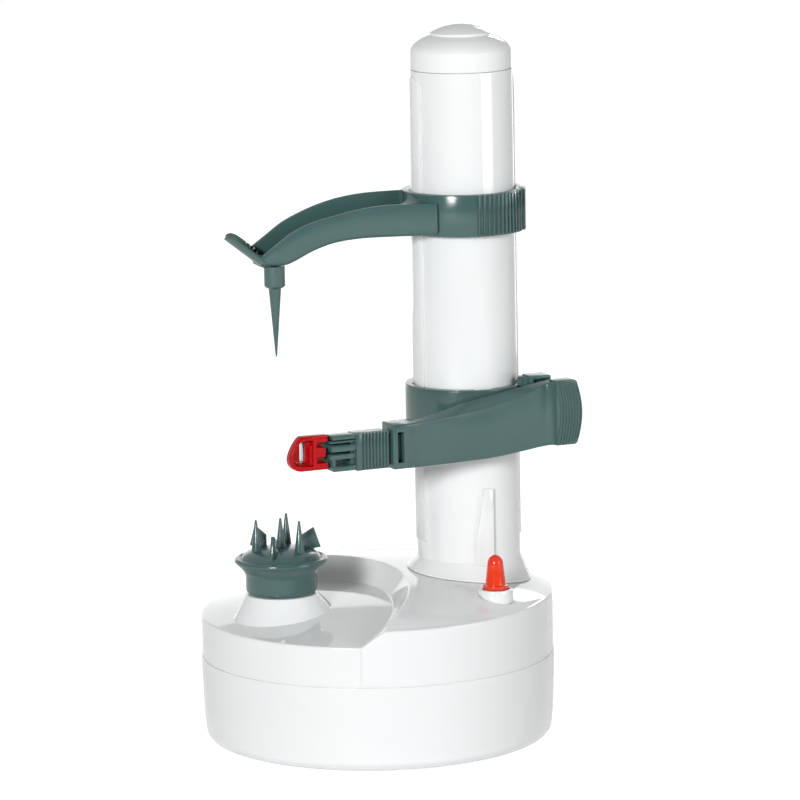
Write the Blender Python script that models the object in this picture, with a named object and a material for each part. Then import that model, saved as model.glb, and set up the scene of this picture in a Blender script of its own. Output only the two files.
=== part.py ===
# Electric potato peeler: a round base with a stepped, domed deck, a spiked cup on a driven
# spindle, and a column that carries a food holder arm and a sprung peeling arm.
# Metres, +Z up. The origin is the centre of the round base on the surface it stands on,
# +X points from the spindle side to the column side, and -Y is the front.
import math

import bmesh
import bpy
from mathutils import Matrix, Vector

mm = 0.001
gap = 0.3 * mm            # air between two pieces that touch
running = 0.5 * mm        # air round a collar that slides
overrun = 1.0 * mm        # how far a cutter passes the face it cuts
sink = 0.6 * mm           # how far two shapes of one piece go into each other

# Base
foot_height = 1.0 * mm
foot_radius = 6.5 * mm
foot_inset = 16.3 * mm
foot_seat = 1.1 * mm
feet_count = 4
lower_radius = 74.3 * mm
foot_ring = lower_radius - foot_inset
lower_wall = 2.4 * mm
lower_floor = 2.4 * mm
bottom_round = 7.0 * mm
bottom_draft = 1.3 * mm
bottom_radius = lower_radius - bottom_round - bottom_draft
wall_draft = 1.0 * mm
seam_height = 36.9 * mm
lip_wall = 1.5 * mm
lip_height = 3.0 * mm
seam_step = 0.5 * mm
rim_radius = lower_radius - seam_step
upper_wall = 2.2 * mm

# Deck: two domes about one apex, joined by a curved ramp
apex_back = 4.0 * mm
dome_margin = 1.2 * mm
dome_reach = rim_radius + dome_margin
low_fall = 7.8 * mm
high_fall = 6.4 * mm
high_shoulder = 3.4 * mm
shoulder_power = 8
ramp_centre_x = -78.3 * mm
ramp_centre_y = -29.5 * mm
ramp_foot_front = 84.0 * mm
ramp_foot_back = 88.0 * mm
ramp_head_front = 92.6 * mm
ramp_head_back = 90.2 * mm

# Spindle and its cup
spindle_x = -39.4 * mm
spindle_y = -21.7 * mm
spindle_radius = 3.0 * mm
skirt_top_radius = 14.5 * mm
skirt_rim_radius = 20.3 * mm
skirt_lip = 0.5 * mm
bush_radius = 6.0 * mm
bush_length = 11.0 * mm
bush_flange = 1.2 * mm
cup_height = 15.0 * mm
cup_radius = 14.9 * mm
cup_foot_round = 1.5 * mm
cup_rim_radius = 18.9 * mm
cup_rim_bead = 1.0 * mm
cup_waist = 8.8 * mm
cup_crown = 4.4 * mm
cup_crown_radius = 12.4 * mm
cup_socket = 11.0 * mm
post_ring = 10.6 * mm
post_radius = 2.3 * mm
post_tip_radius = 0.35 * mm
post_height = 13.0 * mm
post_first = 78.0
fin_first = 18.0
fin_thick = 1.5 * mm
fin_inner = 8.6 * mm
fin_tip = 14.4 * mm
fin_outer = 17.3 * mm
fin_foot = 12.6 * mm
fin_low = 2.7 * mm
fin_high = 11.4 * mm
fin_step = 3.2 * mm

# Column
column_x = 39.1 * mm
column_y = 5.4 * mm
column_radius = 21.6 * mm
column_top_radius = 21.4 * mm
column_wall = 2.2 * mm
column_top = 281.4 * mm
flare_radius = 26.0 * mm
flare_lip = 0.9 * mm
rail_height = 0.9 * mm
rail_width = 11.0 * mm
rail_angle = 22.5
rail_rounds = 4
slot_width = 6.4 * mm
slot_angle = 60.0
cam_height = 1.5 * mm
cam_angle = -71.0
cam_right = 3.0 * mm
cam_top_left = 0.9 * mm
cam_left = 3.8 * mm
cap_band = 8.4 * mm
cap_disc_radius = 12.8 * mm
cap_disc_height = 13.8 * mm
cap_disc_edge = 1.2 * mm
cap_height = 18.3 * mm
cap_wall = 2.0 * mm
cap_plug = 8.0 * mm
cap_plug_wall = 1.6 * mm
cap_boss_radius = 6.5 * mm

# Leadscrew in the column
screw_core = 2.8 * mm
screw_crest = 4.0 * mm
screw_pitch = 10.0 * mm
screw_journal = 2.6 * mm

# Gearbox
plate_inset = 15.3 * mm
plate_radius = lower_radius - plate_inset
plate_thick = 2.0 * mm
plate_room = 10.0 * mm
gear_gap = 0.8 * mm
gear_face = 5.0 * mm
second_face = 3.0 * mm
module = 1.5 * mm
spindle_teeth = 26
idler_teeth = 30
column_teeth = 26
small_teeth = 10
big_teeth = 28
pinion_teeth = 8
gear_addendum = 0.8
gear_dedendum = 1.1
tooth_share = 0.44
pressure_angle = 22.0
train_angle = -75.0
motor_angle = 10.0
axle_radius = 2.0 * mm
motor_radius = 13.8 * mm
motor_length = 31.0 * mm
motor_flat = 1.8 * mm
motor_neck = 3.0 * mm
motor_neck_length = 1.2 * mm
motor_shaft = 1.0 * mm
pillar_radius = 3.4 * mm
pillar_bore = 1.3 * mm
pillar_inset = 9.0 * mm
pillar_ring = plate_radius - pillar_inset
pillar_angles = (-118.0, -28.0, 52.0, 150.0)
post_boss_radius = 3.6 * mm
post_boss_inset = 4.0 * mm
post_boss_ring = plate_radius - post_boss_inset
post_boss_angles = (-100.0, 30.0, 168.0)

# Shell screws
boss_inset = 9.7 * mm
boss_ring = lower_radius - boss_inset
boss_radius = 3.6 * mm
boss_bore = 1.4 * mm
boss_angles = (-62.0, 62.0, 150.0)
screw_head = 2.9 * mm
screw_head_height = 1.8 * mm
screw_shank = 1.1 * mm
screw_length = 42.0 * mm
screw_well = 3.4 * mm

# Batteries
cell_radius = 7.1 * mm
cell_length = 48.5 * mm
cell_edge = 0.5 * mm
cell_nub_radius = 2.7 * mm
cell_nub = 1.2 * mm
cell_pitch = 14.6 * mm
pack_x = -18.0 * mm
pack_y = 29.0 * mm
contact_thick = 0.6 * mm
contact_width = 10.0 * mm
contact_stud = 0.7 * mm
box_wall = 1.4 * mm
door_margin = 2.0 * mm
door_thick = 1.9 * mm
door_travel = 8.0 * mm
door_grip = 9.0 * mm
door_grip_depth = 0.7 * mm
door_grip_pitch = 2.0 * mm
door_grips = 3

# Power inlet in the back of the base
inlet_angle = 96.0
inlet_height = 17.0 * mm
inlet_width = 11.0 * mm
inlet_depth = 13.0 * mm
inlet_nose = 4.4 * mm
inlet_bore = 3.1 * mm
inlet_reach = 9.0 * mm
inlet_pin = 0.8 * mm

# Start button
button_x = 49.4 * mm
button_y = -36.0 * mm
button_radius = 4.25 * mm
button_top_radius = 3.35 * mm
button_height = 14.2 * mm
button_dome = 4.0 * mm
button_flange = 5.3 * mm
button_flange_height = 1.5 * mm
button_stem = 2.3 * mm
button_stem_length = 8.6 * mm
collar_radius = 7.2 * mm
collar_foot_radius = 6.9 * mm
collar_round = 0.5 * mm
collar_plug = 6.6 * mm
collar_plug_depth = 3.2 * mm
switch_length = 13.0 * mm
switch_width = 9.0 * mm
switch_height = 10.0 * mm
switch_well = 3.2 * mm
spring_wire = 0.4 * mm
spring_radius = 3.6 * mm
spring_turns = 4

# Food holder arm
holder_bottom = 214.1 * mm
holder_height = 17.3 * mm
collar_bore = column_radius + running
holder_collar_radius = 25.5 * mm
holder_rib = 0.7 * mm
holder_ribs = 12
holder_rib_from = -77.0
holder_rib_step = 4.8
holder_rib_share = 0.5
holder_clasp = 1.8 * mm
holder_clasp_from = -14.0
holder_clasp_to = 12.0
groove_slack = 0.5 * mm
tongue_slack = 0.4 * mm
tongue_reach = 3.0 * mm
trough_wall = 1.9 * mm
tip_front = 6.4 * mm
tip_back = 6.0 * mm
root_front_x = 27.0 * mm
root_front_y = -20.6 * mm
root_back_x = 16.0 * mm
root_back_y = 5.0 * mm
tip_reach = 5.2 * mm
lever_length = 22.5 * mm
lever_angle = 42.0
lever_thick = 1.5 * mm
lever_width = 12.6 * mm
lever_teeth = 3
lever_tooth = 0.6 * mm
lever_tooth_pitch = 1.9 * mm
prong_top = 204.2 * mm
prong_collar_radius = 4.4 * mm
prong_collar = 9.1 * mm
prong_chamfer = 0.8 * mm
prong_radius = 2.65 * mm
prong_tip_radius = 0.3 * mm
prong_length = 29.0 * mm
prong_pin_radius = 1.5 * mm
prong_pin_length = 7.6 * mm
prong_clip_radius = 3.2 * mm
prong_clip = 1.0 * mm

# Peel carriage
carriage_bottom = 134.2 * mm
carriage_height = 15.7 * mm
carriage_radius = 25.5 * mm
cam_clear = 0.6 * mm
ear_radius = 5.4 * mm
ear_thick = 4.2 * mm
ear_rise = 2.6 * mm
ear_lip = 1.4 * mm
ear_stand = 5.3 * mm
ear_top = carriage_bottom + carriage_height + ear_stand
ear_roof = 1.8 * mm
ear_root = 0.7 * mm
ear_room = ear_stand + ear_root - ear_roof
ear_box_from = -3.7 * mm
ear_box_to = 7.6 * mm
ear_box_front = 6.2 * mm
nut_clear = 1.0 * mm
nut_wall = 3.0 * mm
nut_height = 9.0 * mm
nut_spread = 80.0
tongue_thick = 3.0 * mm

# Peel arm, in its own frame: u runs from the pivot to the blade, n points to the front
pivot_x = 68.5 * mm
pivot_y = -4.0 * mm
arm_turn = 203.6
pin_radius = 2.0 * mm
pin_head = 3.2 * mm
pin_head_height = 1.0 * mm
arm_hub_radius = 4.7 * mm
arm_hub_height = 6.6 * mm
arm_web = 5.6 * mm
arm_web_from = 0.9 * mm
arm_step = 0.2 * mm
arm_front = 14.4 * mm
arm_panel = 2.0 * mm
arm_flange = 5.4 * mm
arm_end = 72.0 * mm
arm_box = 22.0 * mm
arm_box_depth = 12.0 * mm
arm_bottom = 122.2 * mm
arm_end_height = 18.6 * mm
paddle_start = 0.4 * mm
paddle_end = -8.3 * mm
paddle_bottom = 126.4 * mm
paddle_top = 153.6 * mm
paddle_bulge = 3.5 * mm
paddle_left_bulge = 2.4 * mm
paddle_stand = 5.4 * mm
paddle_thick = 7.6 * mm
paddle_ribs = 6
paddle_rib = 0.5 * mm
paddle_rib_share = 0.55
window_u = 68.6 * mm
window_width = 2.8 * mm
window_low = 2.6 * mm
window_high = 15.4 * mm
torsion_radius = 3.6 * mm
torsion_wire = 0.4 * mm
torsion_turns = 3

# Blade head, fork, carrier and blade
head_start = 73.4 * mm
head_length = 14.4 * mm
head_depth = 9.0 * mm
head_bottom = 122.9 * mm
head_height = 15.3 * mm
head_back = 4.4 * mm
head_tenon = 6.0 * mm
tenon_inset = 2.0 * mm
tenon_step = 2.4 * mm
tenon_slack = 0.4 * mm
head_ribs = 8
head_rib_share = 0.55
head_groove = 0.7 * mm
head_first_rib = 2.6 * mm
fork_length = 12.6 * mm
fork_prong = 3.2 * mm
fork_rail = 2.0 * mm
fork_step = 2.8 * mm
fork_tip_depth = 3.5 * mm
pin_reach = 2.6 * mm
carrier_end = 121.5 * mm
carrier_height = 15.0 * mm
carrier_lift = 1.6 * mm
carrier_wall = 2.4 * mm
carrier_depth = 4.6 * mm
carrier_floor = 1.2 * mm
carrier_slack = 0.4 * mm
hook_reach = 2.0 * mm
hook_height = 3.2 * mm
hook_lift = 0.4 * mm
lug_reach = 1.9 * mm
blade_thick = 0.5 * mm
blade_height = 9.4 * mm
blade_length = 11.0 * mm
blade_slit = 2.2 * mm
blade_pin_radius = 0.8 * mm

# Heights that follow the stack in the base: the motor or the cells, the plates, the deck
motor_room = 1.6 * mm
cell_room = 2.0 * mm
deck_room = 12.0 * mm
deck_step = 9.4 * mm
skirt_rise = 4.6 * mm
flare_rise = 4.9 * mm
button_sink = 1.8 * mm
screw_sink = 10.3 * mm
rail_rise = 7.7 * mm
slot_rise = 11.7 * mm
cam_rise = 31.3 * mm
cam_shoulder_rise = 12.7 * mm
rail_drop = 2.4 * mm
slot_drop = 8.4 * mm
screw_rise = 8.6 * mm
screw_run_drop = 19.4 * mm
motor_stack = foot_height + lower_floor + motor_room + motor_length
cell_stack = foot_height + door_thick + 2 * cell_radius + cell_pitch + box_wall + cell_room
plate_height = max(motor_stack, cell_stack)
low_top = plate_height + 2 * plate_thick + plate_room + deck_room
high_top = low_top + deck_step
skirt_top = low_top + skirt_rise
flare_top = high_top + flare_rise
button_seat = high_top - button_sink
screw_foot = flare_top - screw_sink
rail_bottom = flare_top + rail_rise
slot_bottom = flare_top + slot_rise
cam_top = flare_top + cam_rise
cam_shoulder = flare_top + cam_shoulder_rise
rail_top = column_top - rail_drop
slot_top = column_top - slot_drop
screw_top = column_top + screw_rise
screw_run = column_top - screw_run_drop

round_steps = 64
column_steps = 48
part_steps = 24
small_steps = 12

finishes = {
    "white_abs": ((0.83, 0.84, 0.83), 0.18, 0.0),
    "green_plastic": ((0.10, 0.18, 0.165), 0.28, 0.0),
    "red_plastic": ((0.60, 0.02, 0.02), 0.25, 0.0),
    "button_red": ((0.80, 0.07, 0.03), 0.22, 0.0),
    "steel": ((0.62, 0.62, 0.63), 0.25, 1.0),
    "zinc_steel": ((0.50, 0.50, 0.50), 0.38, 1.0),
    "rubber": ((0.03, 0.03, 0.03), 0.75, 0.0),
    "black_plastic": ((0.03, 0.03, 0.035), 0.45, 0.0),
    "acetal": ((0.75, 0.74, 0.69), 0.40, 0.0),
    "bronze": ((0.45, 0.28, 0.12), 0.35, 1.0),
    "cell_wrap": ((0.12, 0.13, 0.16), 0.40, 0.0),
}

for old in list(bpy.data.objects):
    bpy.data.objects.remove(old, do_unlink=True)
for old in list(bpy.data.meshes):
    bpy.data.meshes.remove(old)


def make_material(name, colour, roughness, metallic):
    made = bpy.data.materials.new(name)
    made.use_nodes = True
    shader = made.node_tree.nodes["Principled BSDF"]
    shader.inputs["Base Color"].default_value = (*colour, 1.0)
    shader.inputs["Roughness"].default_value = roughness
    shader.inputs["Metallic"].default_value = metallic
    made.diffuse_color = (*colour, 1.0)
    return made


materials = {name: make_material(name, *values) for name, values in finishes.items()}


def place_empty(name, x, y, turn=0.0):
    """An empty on a joint's axis: the moving pieces hang from it."""
    empty = bpy.data.objects.new(name, None)
    empty.location = (x, y, 0)
    empty.rotation_euler = (0, 0, math.radians(turn))
    bpy.context.scene.collection.objects.link(empty)
    return empty


spindle_axis = place_empty("spindle_axis", spindle_x, spindle_y)
column_axis = place_empty("column_axis", column_x, column_y)
arm_axis = place_empty("arm_axis", pivot_x, pivot_y, arm_turn)
button_axis = place_empty("button_axis", button_x, button_y)


def add_piece(name, bm, finish, parent=None, location=(0, 0, 0)):
    """Turn a bmesh into one named object with its faces out and its round sides smooth."""
    bmesh.ops.recalc_face_normals(bm, faces=bm.faces)
    mesh = bpy.data.meshes.new(name)
    bm.to_mesh(mesh)
    bm.free()
    mesh.materials.append(materials[finish])
    mesh.shade_smooth()
    mesh.set_sharp_from_angle(angle=math.radians(35))
    piece = bpy.data.objects.new(name, mesh)
    piece.parent = parent
    piece.location = location
    bpy.context.scene.collection.objects.link(piece)
    return piece


def shape_with(piece, bm, operation, label):
    """Cut a shape from a piece, or join it on, with an exact Boolean."""
    tool = add_piece(f"{label}_of_{piece.name}", bm, "black_plastic", piece.parent, piece.location)
    tool.hide_render = True
    tool.display_type = "WIRE"
    modifier = piece.modifiers.new(label, "BOOLEAN")
    modifier.operation = operation
    modifier.solver = "EXACT"
    modifier.object = tool


def cut(piece, bm, label):
    shape_with(piece, bm, "DIFFERENCE", label)


def join(piece, bm, label):
    shape_with(piece, bm, "UNION", label)


def turned(profile, steps, x=0.0, y=0.0):
    """Spin a closed outline of (radius, height) points round the Z axis at x, y."""
    bm = bmesh.new()
    points = [bm.verts.new((radius, 0, height)) for radius, height in profile]
    edges = [bm.edges.new(pair) for pair in zip(points, points[1:] + points[:1])
             if any(point.co.x > 0 for point in pair)]
    bmesh.ops.spin(bm, geom=points + edges, cent=(0, 0, 0), axis=(0, 0, 1), angle=2 * math.pi,
                   steps=steps, use_merge=True)
    bmesh.ops.remove_doubles(bm, verts=bm.verts, dist=gap / 100)
    bmesh.ops.translate(bm, verts=bm.verts, vec=(x, y, 0))
    return bm


def rod(radius, low, high, steps, x=0.0, y=0.0):
    return turned([(0, low), (radius, low), (radius, high), (0, high)], steps, x, y)


def slab(outline, low, high):
    """A flat outline in plan, from one height to another."""
    bm = bmesh.new()
    face = bm.faces.new([bm.verts.new((x, y, low)) for x, y in outline])
    made = bmesh.ops.extrude_face_region(bm, geom=[face])
    up = [item for item in made["geom"] if isinstance(item, bmesh.types.BMVert)]
    bmesh.ops.translate(bm, verts=up, vec=(0, 0, high - low))
    return bm


def upright(outline, near, far):
    """An outline of (x, height) points that stands up, from one y to another."""
    bm = slab(outline, -far, -near)
    bmesh.ops.rotate(bm, verts=bm.verts, cent=(0, 0, 0), matrix=Matrix.Rotation(math.pi / 2, 3, "X"))
    return bm


def block(low, high):
    """A box between two corners."""
    return slab([(low[0], low[1]), (high[0], low[1]), (high[0], high[1]), (low[0], high[1])],
                low[2], high[2])


def turn_shape(bm, degrees):
    bmesh.ops.rotate(bm, verts=bm.verts, cent=(0, 0, 0),
                     matrix=Matrix.Rotation(math.radians(degrees), 3, "Z"))
    return bm


def move_shape(bm, x, y, z=0.0):
    bmesh.ops.translate(bm, verts=bm.verts, vec=(x, y, z))
    return bm


def add_each(name, shapes, finish, parent=None):
    """Several copies of one piece, each its own numbered object."""
    for number, shape in enumerate(shapes, 1):
        add_piece(f"{name}_{number}", shape, finish, parent)


def merged(shapes):
    """Several shapes in one bmesh, each its own closed body."""
    whole = bmesh.new()
    for shape in shapes:
        mesh = bpy.data.meshes.new("part_of_group")
        bmesh.ops.recalc_face_normals(shape, faces=shape.faces)
        shape.to_mesh(mesh)
        shape.free()
        whole.from_mesh(mesh)
        bpy.data.meshes.remove(mesh)
    return whole


def ring_stack(rings):
    """Bridge rings of points, first to last and back to the first, into a closed hoop."""
    bm = bmesh.new()
    loops = [[bm.verts.new(point) for point in ring] for ring in rings]
    for lower, upper in zip(loops, loops[1:] + loops[:1]):
        for k, corner in enumerate(lower):
            after = (k + 1) % len(lower)
            bm.faces.new((corner, lower[after], upper[after], upper[k]))
    bm.normal_update()
    bmesh.ops.triangulate(bm, faces=bm.faces)
    return bm


def polar(radius, degrees):
    angle = math.radians(degrees)
    return radius * math.cos(angle), radius * math.sin(angle)


def arc_points(radius, start, end, steps, x=0.0, y=0.0):
    return [(x + polar(radius, start + (end - start) * k / steps)[0],
             y + polar(radius, start + (end - start) * k / steps)[1]) for k in range(steps + 1)]


def low_deck(x, y):
    away = math.hypot(x, y - apex_back) / dome_reach
    return low_top - low_fall * away ** 2


def high_deck(x, y):
    away = math.hypot(x, y - apex_back) / dome_reach
    return high_top - high_fall * away ** 2 - high_shoulder * away ** shoulder_power


# Base shells
upper_bottom = seam_height + gap
ramp_reach = math.hypot(ramp_centre_x, ramp_centre_y)
ramp_bearing = math.atan2(-ramp_centre_y, -ramp_centre_x)


def rim_crossing(distance, radius):
    """The angle at the ramp's centre where a circle of this size meets a rim of this radius."""
    cosine = (ramp_reach ** 2 + distance ** 2 - radius ** 2) / (2 * ramp_reach * distance)
    return math.acos(max(-1.0, min(1.0, cosine)))


def rim_angle(distance, radius):
    """The angle at the base's centre of the same crossing, from the ramp's side."""
    cosine = (ramp_reach ** 2 + radius ** 2 - distance ** 2) / (2 * ramp_reach * radius)
    return math.acos(max(-1.0, min(1.0, cosine)))


def rim_distance(angle, radius):
    return math.sqrt(ramp_reach ** 2 + radius ** 2 - 2 * ramp_reach * radius * math.cos(angle))


def deck_rows(radius, inset):
    """Rows across the deck as (front radius, back radius, height function)."""
    low_rows, high_rows = 12, 14
    foot_front, foot_back = ramp_foot_front + inset, ramp_foot_back + inset
    head_front, head_back = ramp_head_front + inset, ramp_head_back + inset
    foot = rim_angle((foot_front + foot_back) / 2, radius)
    head = rim_angle((head_front + head_back) / 2, radius)
    rows = []
    for k in range(low_rows):
        distance = rim_distance(foot * k / low_rows, radius)
        rows.append((distance, distance, low_deck))
    rows.append((foot_front, foot_back, low_deck))
    rows.append((head_front, head_back, high_deck))
    for k in range(1, high_rows + 1):
        distance = rim_distance(head + (math.pi - head) * k / high_rows, radius)
        rows.append((distance, distance, high_deck))
    return rows


def deck_skin(bm, radius, inset):
    """One face of the stepped deck and its wall. Returns the bottom ring of the wall."""
    columns = 12
    rows = deck_rows(radius, inset)
    grid = []
    for number, (front, back, height) in enumerate(rows):
        count = 0 if number in (0, len(rows) - 1) else columns
        turn_front, turn_back = rim_crossing(front, radius), rim_crossing(back, radius)
        row = []
        for k in range(count + 1):
            share = k / columns
            turn = ramp_bearing - turn_front + share * (turn_front + turn_back)
            distance = front + (back - front) * share
            x = ramp_centre_x + distance * math.cos(turn)
            y = ramp_centre_y + distance * math.sin(turn)
            row.append(bm.verts.new((x, y, height(x, y) - inset)))
        grid.append(row)
    for lower, upper in zip(grid, grid[1:]):
        for k in range(columns):
            corners = [lower[min(k, len(lower) - 1)], upper[min(k, len(upper) - 1)],
                       upper[min(k + 1, len(upper) - 1)], lower[min(k + 1, len(lower) - 1)]]
            bm.faces.new(list(dict.fromkeys(corners)))
    rim = [row[0] for row in grid] + [row[-1] for row in grid[-2:0:-1]]
    ring = [bm.verts.new((point.co.x, point.co.y, upper_bottom)) for point in rim]
    for k, point in enumerate(rim):
        after = (k + 1) % len(rim)
        bm.faces.new((point, rim[after], ring[after], ring[k]))
    return ring


def deck_ring(radius, height, x, y, steps=column_steps):
    """A level circle, or one whose height follows a function of its place."""
    points = []
    for k in range(steps):
        px, py = polar(radius, 360 * k / steps)
        z = height(x + px, y + py) if callable(height) else height
        points.append((x + px, y + py, z))
    return points


def make_upper_shell():
    bm = bmesh.new()
    outer = deck_skin(bm, rim_radius, 0.0)
    inner = deck_skin(bm, rim_radius - upper_wall, upper_wall)
    for k, point in enumerate(outer):
        after = (k + 1) % len(outer)
        bm.faces.new((point, outer[after], inner[after], inner[k]))
    bm.normal_update()
    bmesh.ops.triangulate(bm, faces=bm.faces)
    shell = add_piece("base_upper_shell", bm, "white_abs")
    buried = upper_wall / 2
    skirt = ring_stack([
        deck_ring(bush_radius + gap, skirt_top - bush_length, spindle_x, spindle_y),
        deck_ring(bush_radius + upper_wall, skirt_top - bush_length, spindle_x, spindle_y),
        deck_ring(bush_radius + upper_wall, lambda x, y: low_deck(x, y) - buried, spindle_x, spindle_y),
        deck_ring(skirt_rim_radius, lambda x, y: low_deck(x, y) - buried, spindle_x, spindle_y),
        deck_ring(skirt_rim_radius, lambda x, y: low_deck(x, y) + skirt_lip, spindle_x, spindle_y),
        deck_ring(skirt_top_radius, skirt_top, spindle_x, spindle_y),
        deck_ring(bush_radius + gap, skirt_top, spindle_x, spindle_y)])
    bore = rod(bush_radius + gap, skirt_top - bush_length - overrun, skirt_top + overrun, column_steps,
               spindle_x, spindle_y)
    cut(shell, bore, "spindle_bore")
    join(shell, skirt, "skirt")
    cut(shell, merged([
        rod(column_radius + gap, seam_height, flare_top, column_steps, column_x, column_y),
        rod(collar_plug + gap, seam_height, flare_top, part_steps, button_x, button_y)]), "deck_holes")
    bosses, bores = [], []
    for angle in boss_angles:
        x, y = polar(boss_ring, angle)
        deck = low_deck if abs(angle) > 90 else high_deck
        top = deck(*polar(boss_ring + boss_radius, angle)) - upper_wall / 2
        bosses.append(rod(boss_radius, upper_bottom, top, small_steps, x, y))
        bores.append(rod(boss_bore, upper_bottom - overrun, screw_length + lower_floor, small_steps, x, y))
    join(shell, merged(bosses), "bosses")
    cut(shell, merged(bores), "boss_bores")
    return shell


def make_lower_shell():
    low = foot_height
    floor_top = low + lower_floor
    inner = lower_radius - lower_wall
    lip = rim_radius - upper_wall - gap
    corner = bottom_radius + bottom_round
    outside = [(bottom_radius + bottom_round * math.sin(math.radians(15 * k)),
                low + bottom_round * (1 - math.cos(math.radians(15 * k)))) for k in range(1, 7)]
    profile = [(0, low), (bottom_radius, low), *outside,
               (lower_radius, seam_height), (lip, seam_height), (lip, seam_height + lip_height),
               (lip - lip_wall, seam_height + lip_height), (lip - lip_wall, seam_height - lip_height),
               (inner - wall_draft, seam_height - 2 * lip_height),
               (corner - lower_wall - wall_draft, low + bottom_round),
               (bottom_radius, floor_top), (0, floor_top)]
    shell = add_piece("base_lower_shell", turned(profile, round_steps), "white_abs")
    posts = [rod(post_boss_radius, floor_top - sink, plate_height - gap, small_steps,
                 *polar(post_boss_ring, angle)) for angle in post_boss_angles]
    posts += [rod(boss_radius, floor_top - sink, seam_height, small_steps, *polar(boss_ring, angle))
              for angle in boss_angles]
    join(shell, merged(posts), "posts")
    hollows = []
    for angle in boss_angles:
        hollows.append(turned([
            (0, low - overrun), (screw_well, low - overrun), (screw_well, low + screw_head_height + gap),
            (boss_bore, low + screw_head_height + gap), (boss_bore, seam_height + overrun),
            (0, seam_height + overrun)], small_steps, *polar(boss_ring, angle)))
    for k in range(feet_count):
        hollows.append(rod(foot_radius + gap, low - overrun, low + foot_seat, part_steps,
                           *polar(foot_ring, 360 * k / feet_count)))
    hole = lying(rod(inlet_nose + gap, 0, 3 * lower_wall, part_steps), lower_radius - 2 * lower_wall, 0,
                 inlet_height)
    hollows.append(turn_shape(hole, inlet_angle))
    cut(shell, merged(hollows), "holes")
    reach_x = door_length / 2 + gap
    reach_y = door_width / 2 + gap
    ledge = door_margin + box_wall + gap
    cut(shell, block((pack_x - reach_x, pack_y - reach_y - door_travel, low - overrun),
                     (pack_x + reach_x, pack_y + reach_y, low + door_thick + gap)), "door_recess")
    cut(shell, block((pack_x - reach_x + ledge, pack_y - reach_y + ledge, low),
                     (pack_x + reach_x - ledge, pack_y + reach_y - ledge, floor_top + overrun)),
        "battery_opening")
    return shell


# Battery bay, under the gearbox
door_length = cell_length + cell_nub + 2 * (contact_thick + contact_stud + box_wall + door_margin + 2 * gap)
door_width = 2 * cell_pitch + 2 * (box_wall + door_margin + gap)
cell_low = foot_height + door_thick + gap + cell_radius
bay_length = door_length - 2 * door_margin
bay_width = door_width - 2 * door_margin
bay_top = cell_low + cell_pitch + cell_radius + gap


def lying(bm, x, y, z):
    """Lay an upright turned shape along X."""
    bmesh.ops.rotate(bm, verts=bm.verts, cent=(0, 0, 0), matrix=Matrix.Rotation(math.pi / 2, 3, "Y"))
    return move_shape(bm, x, y, z)


def make_batteries():
    half = cell_length / 2
    shoulder = cell_radius - cell_edge
    profile = [(0, -half), (shoulder, -half), (cell_radius, -half + cell_radius - shoulder),
               (cell_radius, half - cell_radius + shoulder), (shoulder, half),
               (cell_nub_radius, half), (cell_nub_radius, half + cell_nub), (0, half + cell_nub)]
    cells, studs = [], []
    inside = bay_length / 2 - box_wall - gap
    for row in (0, 1):
        for side in (-1, 1):
            cell = turned(profile, 14)
            if (row + side) % 4 in (0, 1):
                bmesh.ops.rotate(cell, verts=cell.verts, cent=(0, 0, 0),
                                 matrix=Matrix.Rotation(math.pi, 3, "X"))
            cells.append(lying(cell, pack_x, pack_y + side * cell_pitch / 2, cell_low + row * cell_pitch))
    for end in (-1, 1):
        face = end * (inside - contact_thick / 2)
        low = cell_low - contact_width / 2
        high = cell_low + cell_pitch + contact_width / 2
        for side in (-1, 1):
            middle = pack_y + side * cell_pitch / 2
            studs.append(block((pack_x + face - contact_thick / 2, middle - contact_width / 2, low),
                               (pack_x + face + contact_thick / 2, middle + contact_width / 2, high)))
    add_each("battery_cell", cells, "cell_wrap")
    add_each("battery_contact", studs, "zinc_steel")
    low = foot_height + lower_floor + gap
    outer = [(pack_x - bay_length / 2, pack_y - bay_width / 2),
             (pack_x + bay_length / 2, pack_y + bay_width / 2)]
    box = add_piece("battery_box", block((*outer[0], low), (*outer[1], bay_top + box_wall)),
                    "black_plastic")
    cut(box, block((outer[0][0] + box_wall, outer[0][1] + box_wall, low - overrun),
                   (outer[1][0] - box_wall, outer[1][1] - box_wall, bay_top)), "bay")
    door = add_piece("battery_door",
                     block((pack_x - door_length / 2, pack_y - door_width / 2, foot_height),
                           (pack_x + door_length / 2, pack_y + door_width / 2,
                            foot_height + door_thick)), "white_abs")
    for k in range(door_grips):
        y = pack_y + door_width / 4 + k * door_grip_pitch
        cut(door, block((pack_x - door_grip, y, foot_height - overrun),
                        (pack_x + door_grip, y + door_grip_pitch / 2, foot_height + door_grip_depth)),
            f"grip_{k}")


def make_feet_and_screws():
    feet, screws = [], []
    for k in range(feet_count):
        x, y = polar(foot_ring, 360 * k / feet_count)
        feet.append(turned([(0, 0), (foot_radius - foot_height / 2, 0), (foot_radius, foot_height / 2),
                            (foot_radius, foot_height + foot_seat - gap),
                            (0, foot_height + foot_seat - gap)], part_steps, x, y))
    for angle in boss_angles:
        x, y = polar(boss_ring, angle)
        head = foot_height + screw_head_height
        screws.append(turned([(0, foot_height), (screw_head, foot_height), (screw_head, head),
                              (screw_shank, head), (screw_shank, screw_length), (0, screw_length)],
                             small_steps, x, y))
    add_each("rubber_foot", feet, "rubber")
    add_each("shell_screw", screws, "zinc_steel")


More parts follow.
